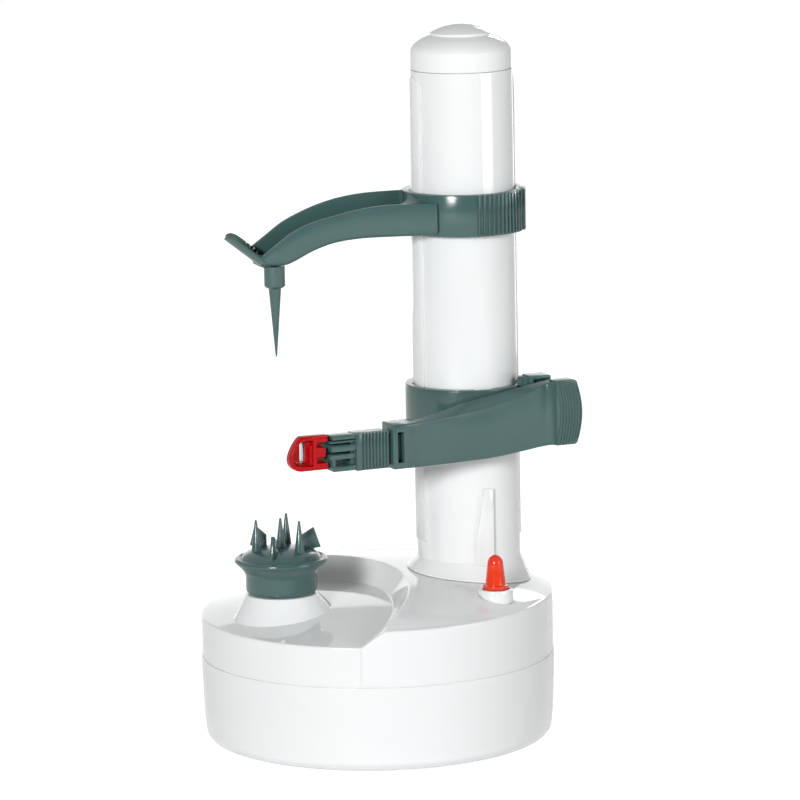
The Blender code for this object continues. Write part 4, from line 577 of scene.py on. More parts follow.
# Column: flared foot, a slight taper, two guide rails, the cam rib and the slot
tube = inMetres(radius=21.6, topRadius=21.4, wall=2.2, bottom=50.3, top=281.4, flareTop=76.3,
                flareRadius=26.0, flareLip=0.9, lipRound=0.3, gap=0.3, edgeRound=0.25, sunk=1.1)
tubeOutline = roundCorners([
    (tube["radius"] - tube["wall"], tube["bottom"], 0), (tube["radius"], tube["bottom"], 0),
    (tube["radius"], 60 * mm, 0), (tube["flareRadius"], 60 * mm, 0), (tube["flareRadius"], 61 * mm, 0),
    (tube["flareRadius"] - tube["lipRound"], 62 * mm, 0),
    (tube["radius"], tube["flareTop"], tube["edgeRound"]),
    (tube["topRadius"], tube["top"], tube["edgeRound"]),
    (tube["topRadius"] - tube["wall"], tube["top"], 0)])
columnTube = spinPiece("columnTube", tubeOutline, columnAt, 160)
followDeck(columnTube, highDeck, {60: tube["gap"], 61: tube["gap"] + tube["flareLip"] - tube["lipRound"],
                                  62: tube["gap"] + tube["flareLip"]})


# A flat outline of (along the wall, up), extruded by its height and wrapped round the column
def wrapPiece(name, outline, height, angle, edgeRound):
    piece = extrudePiece(name, [(along, 0, up) for along, up in outline], (0, -height, 0))
    softenEdges(piece, edgeRound, 2, 60)
    openPiece(piece)
    longest = max(abs(along) for along, up in outline)
    for share in (-0.75, -0.5, -0.25, 0.0, 0.25, 0.5, 0.75):
        bpy.ops.mesh.select_all(action="SELECT")
        bpy.ops.mesh.bisect(plane_co=(longest * share, 0, 0), plane_no=(1, 0, 0))
    shape = bmesh.from_edit_mesh(piece.data)
    for vertex in shape.verts:
        radius = tube["radius"] - tube["sunk"] - vertex.co.y
        turn = radians(angle) + vertex.co.x / tube["radius"]
        vertex.co = (columnAt[0] + radius * cos(turn), columnAt[1] + radius * sin(turn), vertex.co.z)
    bmesh.update_edit_mesh(piece.data)
    return closePiece(piece)


rail = inMetres(width=11.0, height=0.9, bottom=84.0, top=279.0, edgeRound=0.5) | {"angle": 22.5}
railTurns = (rail["angle"], rail["angle"] + 180)
halfRail = rail["width"] / 2
archTop = arc(0, rail["top"] - halfRail, halfRail, halfRail, range(0, 181, 9))
railOutline = [(-halfRail, rail["bottom"]), (halfRail, rail["bottom"]), *archTop]
for side, turn in enumerate(railTurns):
    joinWith(columnTube, wrapPiece(f"guideRail{side}", railOutline,
                                   tube["sunk"] + rail["height"] - 0.1 * mm, turn, rail["edgeRound"]))

cam = inMetres(right=3.0, left=3.8, topLeft=0.9, bottom=75, shoulder=89.0, top=107.6, height=1.5,
               edgeRound=0.3) | {"angle": -71.0}
joinWith(columnTube, wrapPiece("camRib", [
    (-cam["left"], cam["bottom"]), (cam["right"], cam["bottom"]), (cam["right"], cam["top"]),
    (-cam["topLeft"], cam["top"]), (-cam["left"], cam["shoulder"])],
    tube["sunk"] + cam["height"], cam["angle"], cam["edgeRound"]))
slotPlace = turnedAt(columnAt, 60)
slotCutter = makeBlock("slotCutter", metres(0, -3.2, 88), metres(24, 3.2, 273))
cutWith(columnTube, placePiece(slotCutter, slotPlace))
finishPiece(columnTube, "base", "column_tube", "white_abs", 28)

# Column cap: a band, a soft shoulder, a flat step and a low dome, with the plug inside
cap = inMetres(low=281.7, radius=21.4, band=8.4, step=13.8, stepRadius=12.8, stepEdge=1.2, height=18.3,
               swell=0.8, plug=18.9, plugWall=1.6, plugDepth=8, screwBore=2.9, screwTop=290.3, post=6.5,
               lip=21.1, lipDepth=0.12, edgeRound=0.2)
capLow, plug, capStep = cap["low"], cap["plug"], cap["low"] + cap["step"]
capOutline = [(0, cap["screwTop"]), (cap["screwBore"], cap["screwTop"]), (cap["screwBore"], capLow),
              (cap["post"], capLow), (cap["post"], capLow + 12.3 * mm), (12.8 * mm, capLow + 10.3 * mm),
              (plug - cap["plugWall"], capLow + 8.4 * mm),
              (plug - cap["plugWall"], capLow - cap["plugDepth"]),
              (plug, capLow - cap["plugDepth"]), (plug, capLow - cap["lipDepth"]),
              (cap["lip"], capLow - cap["lipDepth"]), (cap["lip"], capLow),
              (cap["radius"] - cap["edgeRound"], capLow), (cap["radius"], capLow + cap["edgeRound"]),
              (cap["radius"], capLow + cap["band"] - 0.5 * mm)]
# The shoulder is a flat arc with a softened lower edge
for k in range(1, 13):
    along = k / 12
    swell = cap["swell"] * 4 * along * (1 - along)
    capOutline.append((cap["radius"] + (cap["stepRadius"] + 0.3 * mm - cap["radius"]) * along + 0.55 * swell,
                       capLow + cap["band"] + (cap["step"] - cap["band"]) * along + 0.85 * swell))
capOutline += [(cap["stepRadius"], capStep + 0.25 * mm),
               (cap["stepRadius"], capStep + cap["stepEdge"] - 0.15 * mm)]
domeRise = cap["height"] - cap["step"] - cap["stepEdge"]
for k in range(1, 12):
    along = k / 12
    capOutline.append(((cap["stepRadius"] - 0.1 * mm) * (1 - along),
                       capStep + cap["stepEdge"] + domeRise * (1 - (1 - along) ** 2)))
capOutline += [(0, capLow + cap["height"])]
columnCap = spinPiece("columnCap", capOutline, columnAt, 128, closed=False)
finishPiece(columnCap, "base", "column_cap", "white_abs", 24)

# Start button with its collar in the deck
press = inMetres(seat=69.6, flange=5.3, flangeHeight=1.5, radius=4.25, topRadius=3.35, height=14.2, dome=4.0,
                 stem=2.3, stemLength=8.6, edgeRound=0.4)
seat, flangeTop = press["seat"], press["seat"] + press["flangeHeight"]
stemLow, domeLow = press["seat"] - press["stemLength"], press["seat"] + press["height"] - press["dome"]
buttonOutline = roundCorners([
    (0, stemLow, 0), (press["stem"], stemLow, 0.2 * mm), (press["stem"], seat, 0),
    (press["flange"], seat, 0.2 * mm), (press["flange"], flangeTop, press["edgeRound"]),
    (press["radius"], flangeTop + 0.3 * mm, press["edgeRound"]),
    (press["topRadius"], domeLow, 6 * mm)], closed=False)[:-1]
buttonOutline += arc(0, domeLow, press["topRadius"], press["dome"], range(0, 90, 9))
buttonOutline += [(0, seat + press["height"])]
startButton = spinPiece("startButtonCap", buttonOutline, buttonAt, 64, closed=False)
finishPiece(startButton, "button", "start_button", "button_red", 30)

collar = inMetres(bore=5.6, neck=6.6, foot=6.95, radius=7.2, top=6.7, depth=3.2)
collarLow = highDeck(*buttonAt) - collar["depth"]
buttonCollar = spinPiece("buttonCollarRing", [
    (collar["bore"], collarLow), (collar["neck"], collarLow), (collar["neck"], 60 * mm),
    (collar["foot"], 60 * mm), (collar["radius"], 61 * mm), (collar["radius"], seat - 0.5 * mm),
    (7.05 * mm, seat - 0.15 * mm), (collar["top"], seat), (5.75 * mm, seat),
    (collar["bore"], seat - 0.15 * mm)], buttonAt, 72)
followDeck(buttonCollar, highDeck, {60: 0.3 * mm, 61: 0.6 * mm})
finishPiece(buttonCollar, "base", "button_collar", "white_abs", 30)

# Spiked cup: a turned body with a beaded rim, three posts, three fins and a centre spike
cup = inMetres(low=66.9, height=15.0, radius=14.9, footRound=1.8, rimRadius=19.4, bead=1.2, waist=7.2,
               crown=4.4, bore=3.3, boreDepth=11, postRing=10.6, postRadius=2.3, postTip=0.35,
               postHeight=13.0, finThick=1.5, finRound=0.3, finInside=8.6, finFoot=14.3,
               finBarb=17.3, finTip=14.4)
cup |= {"firstPost": 78.0, "firstFin": 18.0}
cupLow, bead = cup["low"], cup["bead"]
cupRim = cupLow + cup["height"]
flareOut = cup["rimRadius"] - bead / 2 - cup["radius"]
flareUp = cup["height"] - 2 * bead - cup["waist"]
cupOutline = [(0, cupLow + cup["boreDepth"]), (cup["bore"], cupLow + cup["boreDepth"]), (cup["bore"], cupLow),
              (cup["radius"] - cup["footRound"], cupLow)]
cupOutline += [(cup["radius"] - cup["footRound"] * (1 - sin(radians(a))),
                cupLow + cup["footRound"] * (1 - cos(radians(a)))) for a in range(15, 91, 15)]
cupOutline += [(cup["radius"] + flareOut * (k / 10) ** 1.7, cupLow + cup["waist"] + flareUp * k / 10)
               for k in range(10)]
cupOutline += arc(cup["rimRadius"] - bead, cupRim - bead, bead, bead, range(-75, 106, 15))
crownFoot, crownTop = cupRim - 0.5 * mm, cupRim + cup["crown"]
cupOutline += [(cup["rimRadius"] - 2.1 * mm, cupRim - 0.55 * mm), (cup["rimRadius"] - 2.5 * mm, crownFoot)]
crownReach = cup["rimRadius"] - 2.9 * mm
cupOutline += [(crownReach * cos(radians(a)) ** 0.8, crownFoot + (crownTop - crownFoot) * sin(radians(a)))
               for a in range(6, 86, 8)]
cupOutline += [(0, crownTop)]
cupBody = spinPiece("cupBody", cupOutline, spindleAt, 112, closed=False)
postFoot = crownTop - 4 * mm
postTop = cupRim + cup["crown"] - 1.0 * mm + cup["postHeight"]
postOutline = [(0, postFoot), (cup["postRadius"] + 0.15 * mm, postFoot),
               (cup["postTip"] + 0.12 * mm, postTop - 0.45 * mm),
               (cup["postTip"] - 0.1 * mm, postTop - 0.12 * mm), (0, postTop)]
# Three posts stand on a ring and the fourth is the centre spike
for k in range(4):
    postAt = polar(cup["postRing"] if k < 3 else 0.0, cup["firstPost"] + 120 * k, spindleAt)
    joinWith(cupBody, spinPiece("cupPost", postOutline, postAt, 28, closed=False))
finOutline = ((cup["finInside"], 0), (cup["finFoot"], -mm), (cup["finFoot"], 2.5 * mm),
              (cup["finBarb"], 2.7 * mm), (cup["finTip"], 11.4 * mm), (cup["finInside"], 8.2 * mm))
for k in range(3):
    fin = extrudePiece("cupFin", [(out, -cup["finThick"] / 2, cupRim + up) for out, up in finOutline],
                       (0, cup["finThick"], 0))
    softenEdges(fin, cup["finRound"], 2, 30)
    joinWith(cupBody, placePiece(fin, turnedAt(spindleAt, cup["firstFin"] + 120 * k)))
finishPiece(cupBody, "spindle", "spiked_cup", "green_plastic", 30)

# Food holder arm: an open trough that rises from the prong to a ribbed collar on the column
holder = inMetres(bottom=214.1, height=17.3, bore=22.1, radius=25.5, rib=0.7, ribGroove=0.4, clasp=0.9,
                  foot=204.5, wall=1.9, bellyRound=2.4, edgeRound=0.45, innerRound=0.8)
holder |= {"ribs": 12, "ribFrom": -77.0, "ribStep": 4.8, "claspFrom": -14.0, "claspTo": 12.0, "stations": 44}
# The trough's edges in plan, from its tip to its root at the collar
troughFront = (Vector((-44.6 * mm, -21.7 * mm - 6.4 * mm)), Vector(metres(28.2, -19.0)))
troughBack = (Vector((-44.6 * mm - 4.0 * mm, -21.7 * mm + 6.0 * mm)), Vector(metres(16.0, 5.0)))
rise = holder["bottom"] + holder["height"] - holder["foot"]
# Share of the way, then the floor, the front edge and the back edge as shares of the rise
troughTable = ((0.00, 0.000, 0.15, 0.284), (0.10, 0.000, 0.355, 0.464), (0.15, 0.010, 0.46, 0.555),
               (0.20, 0.065, 0.545, 0.635), (0.30, 0.205, 0.665, 0.75), (0.42, 0.318, 0.75, 0.86),
               (0.56, 0.372, 0.835, 0.945), (0.72, 0.385, 0.885, 0.99), (1.00, 0.382, 0.877, 1.00))


def troughSection(share):
    floor, frontEdge, backEdge = smoothTable(troughTable, share)
    front, back = troughFront[0].lerp(troughFront[1], share), troughBack[0].lerp(troughBack[1], share)
    width = (back - front).length
    wall, edge = holder["wall"], holder["edgeRound"]
    low = max(floor, 0) * rise
    inside = low + wall
    frontHigh = max(frontEdge * rise, low + wall + 0.1 * mm)
    backHigh = max(backEdge * rise, low + wall + 0.1 * mm)
    belly = min(holder["bellyRound"], 0.45 * (frontHigh - low))
    outline = roundCorners([
        (0, low, belly), (width, low, belly), (width, backHigh, edge), (width - wall, backHigh, edge),
        (width - wall, min(inside, backHigh - 0.05 * mm), holder["innerRound"]),
        (wall, min(inside, frontHigh - 0.05 * mm), holder["innerRound"]),
        (wall, frontHigh, edge), (0, frontHigh, edge)], steps=5)
    across = (back - front) / width
    return [(front.x + across.x * side, front.y + across.y * side, holder["foot"] + up)
            for side, up in outline]


holderArm = loftPiece("holderArm", [troughSection(k / holder["stations"])
                                    for k in range(holder["stations"] + 1)])


# The collar's edge in plan: finger ribs at the front right, the clasp, then plain
def collarEdge():
    inner, outer = holder["radius"], holder["radius"] + holder["rib"]
    low, step = inner - holder["ribGroove"], holder["ribStep"]
    bevel = step / 10
    points = []
    for k in range(holder["ribs"]):
        start = holder["ribFrom"] + k * step
        end = start + 0.5 * step
        points += [(start, low), (start + bevel, outer), ((start + end) / 2, outer), (end - bevel, outer),
                   (end, low), (end + 0.25 * step, low)]
    outer = holder["radius"] + holder["clasp"]
    points += [(holder["claspFrom"] - 0.5, inner), (holder["claspFrom"], outer)]
    points += [(holder["claspFrom"] + k * 2, outer) for k in range(1, 13)]
    points += [(holder["claspTo"], outer), (holder["claspTo"] + 0.5, inner)]
    start, end = holder["claspTo"] + 3, holder["ribFrom"] + 360
    points += [(start + (end - start) * k / 80, inner) for k in range(80)]
    return [(*polar(radius, turn, columnAt), holder["bottom"]) for turn, radius in points]


holderCollar = extrudePiece("holderCollar", collarEdge(), (0, 0, holder["height"]))
joinWith(holderArm, softenEdges(holderCollar, 0.3 * mm, 2, 70))

# The thumb lever: a plate that is dished across and turned up a little at its rounded end
lever = inMetres(length=20.3, thick=1.0, width=12.6, toothFrom=5.6, pitch=1.9, toothFoot=0.9, toothWidth=1.3,
                 toothTip=0.45, toothHeight=3.6, toothHalf=3.6, endRound=5.0, dish=3.2, turnUp=0.2)
lever |= {"angle": radians(37.5), "teeth": 4, "rows": 24, "columns": 16}
along = Vector((-cos(lever["angle"]), 0, sin(lever["angle"])))
upward = Vector((sin(lever["angle"]), 0, cos(lever["angle"])))
leverStart = Vector((spindleAt[0] - 4.4 * mm, spindleAt[1], holder["foot"] - 0.9 * mm))
half = lever["width"] / 2


def leverPoint(row, column):
    reach = lever["length"] * row / lever["rows"]
    near = max(0.0, (reach - lever["length"] + lever["endRound"]) / lever["endRound"])
    narrow = sqrt(max(0.0, 1 - near * near)) * 0.42 + 0.58
    side = half * narrow * (2 * column / lever["columns"] - 1)
    up = lever["dish"] * (side / half) ** 2 + lever["turnUp"] * (reach / lever["length"]) ** 2
    return leverStart + along * reach + upward * up + Vector((0, side, 0))


leverPiece = placedGrid("leverPlate", lever["rows"], lever["columns"], leverPoint)
openPiece(leverPiece)
bpy.ops.mesh.normals_make_consistent(inside=False)
bpy.ops.object.mode_set(mode="OBJECT")
applyModifier(leverPiece, "SOLIDIFY", thickness=lever["thick"], offset=0.0)
openPiece(leverPiece)
closePiece(leverPiece)
joinWith(holderArm, softenEdges(leverPiece, 0.3 * mm, 2, 60))
side = Vector((0, -lever["toothHalf"], 0))
for k in range(lever["teeth"]):
    toothFoot = leverStart + along * (lever["toothFrom"] + k * lever["pitch"]) + upward * lever["toothFoot"]
    toothTip = toothFoot + along * lever["toothTip"] + upward * lever["toothHeight"]
    joinWith(holderArm, extrudePiece("leverTooth", [
        toothFoot + side, toothFoot + along * lever["toothWidth"] + side, toothTip + side],
        (0, 2 * lever["toothHalf"], 0)))

# The web that runs from the collar down to the end of the near wall
gusset = {"turnFrom": 209.0, "turnTo": 244.0, "wayFrom": 0.78, "rows": 12, "columns": 6}
gussetRows = []
for k in range(gusset["rows"] + 1):
    share = k / gusset["rows"]
    turn = gusset["turnFrom"] + (gusset["turnTo"] - gusset["turnFrom"]) * share
    collarTop = holder["bottom"] + holder["height"] - 0.3 * mm - 4.6 * mm * share ** 1.2
    onCollar = Vector((*polar(holder["radius"] - 0.4 * mm, turn, columnAt), collarTop))
    way = gusset["wayFrom"] + 0.22 * share
    front, back = troughFront[0].lerp(troughFront[1], way), troughBack[0].lerp(troughBack[1], way)
    inside = front + (back - front).normalized() * 0.9 * mm
    frontEdge = smoothTable(troughTable, way)[1] * rise + holder["foot"] - 0.15 * mm
    onWall = Vector((inside.x, inside.y, frontEdge))
    web = [onWall.lerp(onCollar, j / gusset["columns"])
           - Vector((0, 0, 1.3 * mm * sin(pi * j / gusset["columns"]) * (1 - share)))
           for j in range(gusset["columns"] + 1)]
    low = holder["foot"] + 0.50 * rise
    gussetRows.append([tuple(p) for p in web] + [(onCollar.x, onCollar.y, low), (onWall.x, onWall.y, low)])
joinWith(holderArm, loftPiece("collarGusset", gussetRows),
         makeRod("prongBoss", 3.2 * mm, holder["foot"], holder["foot"] + 3.8 * mm, spindleAt))
cutWith(holderArm, makeRod("prongBore", 1.8 * mm, 203 * mm, 215 * mm, spindleAt, 32),
        makeRod("collarBore", holder["bore"], 212 * mm, 234 * mm, columnAt, 128))


# Room for the guide rails inside a collar
def cutRailGrooves(piece, low, high):
    halfTurn = degrees((rail["width"] / 2 + 0.5 * mm) / tube["radius"])
    for angle in railTurns:
        sector = [polar(23.0 * mm, angle - halfTurn + halfTurn * k / 4, columnAt) for k in range(9)]
        sector += [polar(20.6 * mm, angle + halfTurn - halfTurn * k / 4, columnAt) for k in range(9)]
        cutWith(piece, extrudePiece("railGroove", [(x, y, low) for x, y in sector], (0, 0, high - low)))


# The tongues of the holder and the carriage run in the column's slot
def joinTongue(piece, name, inside, low, high):
    tongue = makeBlock(name, metres(inside, -2.8, low), metres(22.7, 2.8, high))
    joinWith(piece, placePiece(tongue, slotPlace))


cutRailGrooves(holderArm, 212 * mm, 234 * mm)
joinTongue(holderArm, "holderTongue", 18.6, 217.1, 228.4)
finishPiece(holderArm, "holder", "food_holder_arm", "green_plastic", 32)

# Top prong: a chamfered collar over a long taper
prong = inMetres(top=204.2, collar=9.1, collarRadius=4.4, radius=2.65, tip=0.3, length=29.0, chamfer=0.8,
                 pin=1.5, pinLength=7.6, edgeRound=0.2)
prongLow, pinTop = prong["top"] - prong["collar"], prong["top"] + prong["pinLength"]
prongOutline = roundCorners([
    (0, prongLow - prong["length"], 0), (prong["tip"], prongLow - prong["length"] + 0.15 * mm, 0),
    (prong["radius"], prongLow, 0.8 * mm),
    (prong["collarRadius"] - prong["chamfer"], prongLow, prong["edgeRound"]),
    (prong["collarRadius"], prongLow + prong["chamfer"], 0.3 * mm),
    (prong["collarRadius"], prong["top"] - prong["edgeRound"], 0),
    (prong["collarRadius"] - prong["edgeRound"], prong["top"], 0), (prong["pin"], prong["top"], 0),
    (prong["pin"], pinTop, prong["edgeRound"]), (0, pinTop, 0)], closed=False)
topProng = spinPiece("topProngPin", prongOutline, spindleAt, 64, closed=False)
finishPiece(topProng, "prong", "top_prong", "green_plastic", 32)

# Peel carriage: a collar with two ears that hold the arm's pivot pin
carriage = inMetres(low=134.2, height=15.7, bore=22.1, radius=25.5, edgeRound=0.5, earRadius=5.4,
                    earFrom=23.8, earLow=131.6, earThick=4.2, boxTop=154.0, boxRoof=0.7, boxRoom=4.2,
                    boxFrom=-3.7, boxTo=5.6, boxFront=6.2, lip=1.4, pinBore=2.3)
armTurn, pivotAt = 203.6, metres(68.5, -4.0)
armPlace = turnedAt(pivotAt, armTurn)
carriageHigh, roofLow = carriage["low"] + carriage["height"], carriage["boxTop"] - carriage["boxRoof"]
carriageOutline = roundCorners([
    (carriage["bore"], carriage["low"], 0), (carriage["radius"], carriage["low"], carriage["edgeRound"]),
    (carriage["radius"], carriageHigh, carriage["edgeRound"]), (carriage["bore"], carriageHigh, 0)])
peelCarriage = spinPiece("carriageCollar", carriageOutline, columnAt, 128)
pivot = Vector((pivotAt[0] - columnAt[0], pivotAt[1] - columnAt[1]))
inward = pivot.normalized() * carriage["earFrom"]
aside = Vector((-inward.y, inward.x)).normalized() * carriage["earRadius"]
bearing = degrees(atan2(pivot.y, pivot.x))
earOutline = [inward - aside]
earOutline += [pivot + Vector(polar(carriage["earRadius"], bearing - 90 + 7.5 * k)) for k in range(25)]
earOutline += [inward + aside]
for low, high in ((carriage["earLow"], carriage["earLow"] + carriage["earThick"]),
                  (roofLow - carriage["boxRoom"] + 0.07 * mm, roofLow - 0.05 * mm)):
    ear = extrudePiece("carriageEar", [(columnAt[0] + p.x, columnAt[1] + p.y, low) for p in earOutline],
                       (0, 0, high - low))
    joinWith(peelCarriage, softenEdges(ear, 0.4 * mm, 2, 60))
earBox = makeBlock("earBox",
                   (carriage["boxFrom"], -carriage["earRadius"] / 2, carriage["boxTop"] - 4.8 * mm),
                   (carriage["boxTo"], carriage["boxFront"], carriage["boxTop"]))
joinWith(peelCarriage, placePiece(softenEdges(earBox, 0.5 * mm, 3, 60), armPlace))
earRoom = makeBlock("earRoom",
                    (carriage["boxFrom"] + carriage["lip"], 3.4 * mm, carriage["boxTop"] - 3.7 * mm),
                    (carriage["boxTo"] - carriage["lip"], 8 * mm, carriage["boxTop"] - 1.3 * mm))
cutWith(peelCarriage, placePiece(earRoom, armPlace),
        makeRod("pinBore", carriage["pinBore"], 128 * mm, roofLow, pivotAt, 32))
cutRailGrooves(peelCarriage, 130 * mm, 152 * mm)
camRoom = makeBlock("camRoom", metres(-4.4, -23.7, 130), metres(3.6, -19.4, 152))
cutWith(peelCarriage, placePiece(camRoom, turnedAt(columnAt, cam["angle"] + 90)))
joinTongue(peelCarriage, "carriageTongue", 6.5, 137.2, 146.9)
finishPiece(peelCarriage, "carriage", "peel_carriage", "green_plastic", 32)

# Peel arm: a channel that swings on the pivot pin, with a socket box at the blade end and a
# ribbed thumb paddle at the other. Modelled along +X with its front towards +Y, then placed.
arm = inMetres(front=14.4, panel=2.0, flange=5.4, length=72.0, bottom=122.2, endHeight=18.6, topRound=0.7,
               lowRound=0.8, lowRoundAtPaddle=1.6, filletLow=8.0, filletHigh=3.4, filletRise=4.9, faceBow=0.6,
               box=12.0, boxDepth=12.0, boxStep=0.03, boxRound=0.7)
arm |= {"stations": 40, "tailShare": 0.036, "headShare": 0.97, "faceSteps": 8}
# Share of the length, then the lower edge, the upper edge and the rise of the sloping top
# towards the back, as shares of the end height
armTable = ((0.00, 0.225, 1.640, 0.000), (0.06, 0.175, 1.555, 0.050), (0.20, 0.100, 1.355, 0.170),
            (0.38, 0.030, 1.195, 0.215), (0.55, 0.010, 1.095, 0.195), (0.70, 0.004, 1.035, 0.105),
            (0.84, 0.000, 1.005, 0.015), (0.97, 0.000, 0.995, 0.000))


def armSection(share):
    low, high, slope = (value * arm["endHeight"] for value in smoothTable(armTable, max(0.0, share)))
    u = share * arm["length"]
    low, high = arm["bottom"] + low, arm["bottom"] + high
    back, panel, steps = arm["front"] - arm["flange"], arm["panel"], arm["faceSteps"]
    lowRound = arm["lowRound"] + (arm["lowRoundAtPaddle"] - arm["lowRound"]) * (1 - share) ** 1.5
    bow = arm["faceBow"] * min(1.0, max(0.0, (0.82 - share) / 0.3))
    face = []
    # The fillet into the paddle is long at the lower edge and short at the upper edge
    for k in range(steps + 1):
        reach = arm["filletLow"] + (arm["filletHigh"] - arm["filletLow"]) * k / steps
        near = min(1.0, max(0.0, 1 - u / reach))
        front = arm["front"] + arm["filletRise"] * (1 - sqrt(1 - near * near))
        face.append((front - bow * (1 - sin(pi * k / steps)), low + (high - low) * k / steps,
                     lowRound if k == 0 else arm["topRound"] if k == steps else 0))
    inside = arm["front"] - panel - bow
    outline = roundCorners([
        *face, (back, high + slope, 0.4 * mm), (back, high + slope - panel, 0.2 * mm),
        (inside, high - panel, 0.7 * mm), (inside, low + panel, 0.7 * mm),
        (back, low + panel, 0.2 * mm), (back, low, 0.3 * mm)], steps=5)
    return [(u, n, z) for n, z in outline]


armShares = [arm["headShare"] * (1 - k / arm["stations"]) ** 1.25 for k in range(arm["stations"] + 1)]
peelArm = loftPiece("armChannel", [armSection(share) for share in [*armShares, -arm["tailShare"]]])
armFace = arm["front"] + arm["boxStep"]
socketBox = makeBlock(
    "socketBox", (arm["length"] - arm["box"], armFace - arm["boxDepth"], arm["bottom"] - arm["boxStep"]),
    (arm["length"], armFace, arm["bottom"] + arm["endHeight"]))
joinWith(peelArm, softenEdges(socketBox, arm["boxRound"], 3, 60))

paddle = inMetres(left=0.4, right=-9.2, leftBulge=1.6, rightBulge=2.6, low=126.4, high=153.6, back=12.2,
                  front=19.4, cornerRound=1.8, rib=0.45, ribSunk=0.3, ribRound=0.18, edgeRound=0.5)
# How far each rib stays from the paddle's ends, as a share of its height
ribInsets = (0.025, 0.025, 0.025, 0.025, 0.03, 0.035, 0.05, 0.09)


def paddlePoint(across, up):
    shift = sin(pi * up)
    left = paddle["left"] - paddle["leftBulge"] * shift
    right = paddle["right"] - paddle["rightBulge"] * shift
    return left + (right - left) * across, paddle["low"] + (paddle["high"] - paddle["low"]) * up


paddleOutline = roundCorners([
    *[(*paddlePoint(0, k / 12), 0) for k in range(13)], (*paddlePoint(1, 1), paddle["cornerRound"]),
    *[(*paddlePoint(1, 1 - k / 14), 0) for k in range(3, 12)],
    (*paddlePoint(1, 0), paddle["cornerRound"])], steps=8)
paddlePlate = extrudePiece("paddlePlate", [(u, paddle["back"], z) for u, z in paddleOutline],
                           (0, paddle["front"] - paddle["back"], 0))
softenEdges(paddlePlate, paddle["edgeRound"], 3, 50)
for k, inset in enumerate(ribInsets):
    first, last = (k + 0.3) / len(ribInsets), (k + 0.75) / len(ribInsets)
    ups = [inset + (1 - 2 * inset) * j / 16 for j in range(17)]
    ribOutline = [paddlePoint(first, up) for up in ups] + [paddlePoint(last, up) for up in reversed(ups)]
    ribStrip = extrudePiece("paddleRib", [(u, paddle["front"] - paddle["ribSunk"], z) for u, z in ribOutline],
                            (0, paddle["ribSunk"] + paddle["rib"], 0))
    joinWith(paddlePlate, softenEdges(ribStrip, paddle["ribRound"], 2, 60))
hub = inMetres(radius=4.7, low=136.1, high=142.7, web=0.2)
joinWith(peelArm, paddlePlate, makeRod("armHub", hub["radius"], hub["low"], hub["high"], (0, 0), 64),
         makeBlock("armWeb", (0.9 * mm, 2 * mm, hub["low"] + hub["web"]),
                   (6.5 * mm, 13.4 * mm, hub["high"] - hub["web"])))
cutWith(peelArm, makeRod("armPinBore", carriage["pinBore"], 130 * mm, 146 * mm, (0, 0), 32))

# The socket in the box takes the blade head's tenon, and a window shows it from the front
head = inMetres(start=73.4, length=14.4, depth=9.0, low=122.9, height=15.3, front=12.9, tenon=6.0, inset=2.0,
                step=2.4, slack=0.4, groove=0.7, firstRib=2.6, edgeRound=0.22) | {"ribs": 8, "ribShare": 0.55}
window = inMetres(u=68.6, width=2.8, low=124.8, high=137.6, front=16)
headMiddle = head["low"] + head["height"] / 2
tenonHalf = head["height"] / 2 - head["step"]
tenonFront = head["front"] - head["inset"] + head["slack"]
tenonDepth = head["depth"] - 2 * head["inset"]
slack, windowHalf = head["slack"], window["width"] / 2
cutWith(peelArm,
        makeBlock("armSocket", (arm["length"] - head["tenon"] - slack, tenonFront - tenonDepth - 2 * slack,
                                headMiddle - tenonHalf - slack),
                  (arm["length"] + mm, tenonFront, headMiddle + tenonHalf + slack)),
        makeBlock("windowCutter", (window["u"] - windowHalf, tenonFront - tenonDepth / 2, window["low"]),
                  (window["u"] + windowHalf, window["front"], window["high"])))
placePiece(peelArm, armPlace)
finishPiece(peelArm, "arm", "peel_arm", "green_plastic", 32)

# Blade head: a ribbed grip with a tenon, and the fork that carries the blade carrier
headHigh, headFront = head["low"] + head["height"], head["front"]
headBack = headFront - head["depth"]
headStart, forkStart = head["start"], head["start"] + head["length"]
pitch = (head["length"] - head["firstRib"]) / head["ribs"]
comb = [(headStart, headBack), (headStart, headFront)]
for k in range(head["ribs"]):
    u = headStart + (k + head["ribShare"]) * pitch
    wide = u + pitch * (1 - head["ribShare"])
    comb += [(u, headFront), (u, headFront - head["groove"]),
             (wide, headFront - head["groove"]), (wide, headFront)]
comb += [(forkStart, headFront), (forkStart, headBack)]
bladeHead = extrudePiece("headGrip", [(u, n, head["low"]) for u, n in comb], (0, 0, head["height"]))
softenEdges(bladeHead, head["edgeRound"], 2, 60)
joinWith(bladeHead, makeBlock(
    "headTenon", (arm["length"] - head["tenon"], headBack + head["inset"], headMiddle - tenonHalf),
    (headStart + 0.6 * mm, headFront - head["inset"], headMiddle + tenonHalf)))
fork = inMetres(length=12.6, plate=1.6, step=2.4, tipDepth=3.5, pinReach=2.6, pinBore=1.1, prong=3.2,
                root=0.6, edgeRound=0.35)
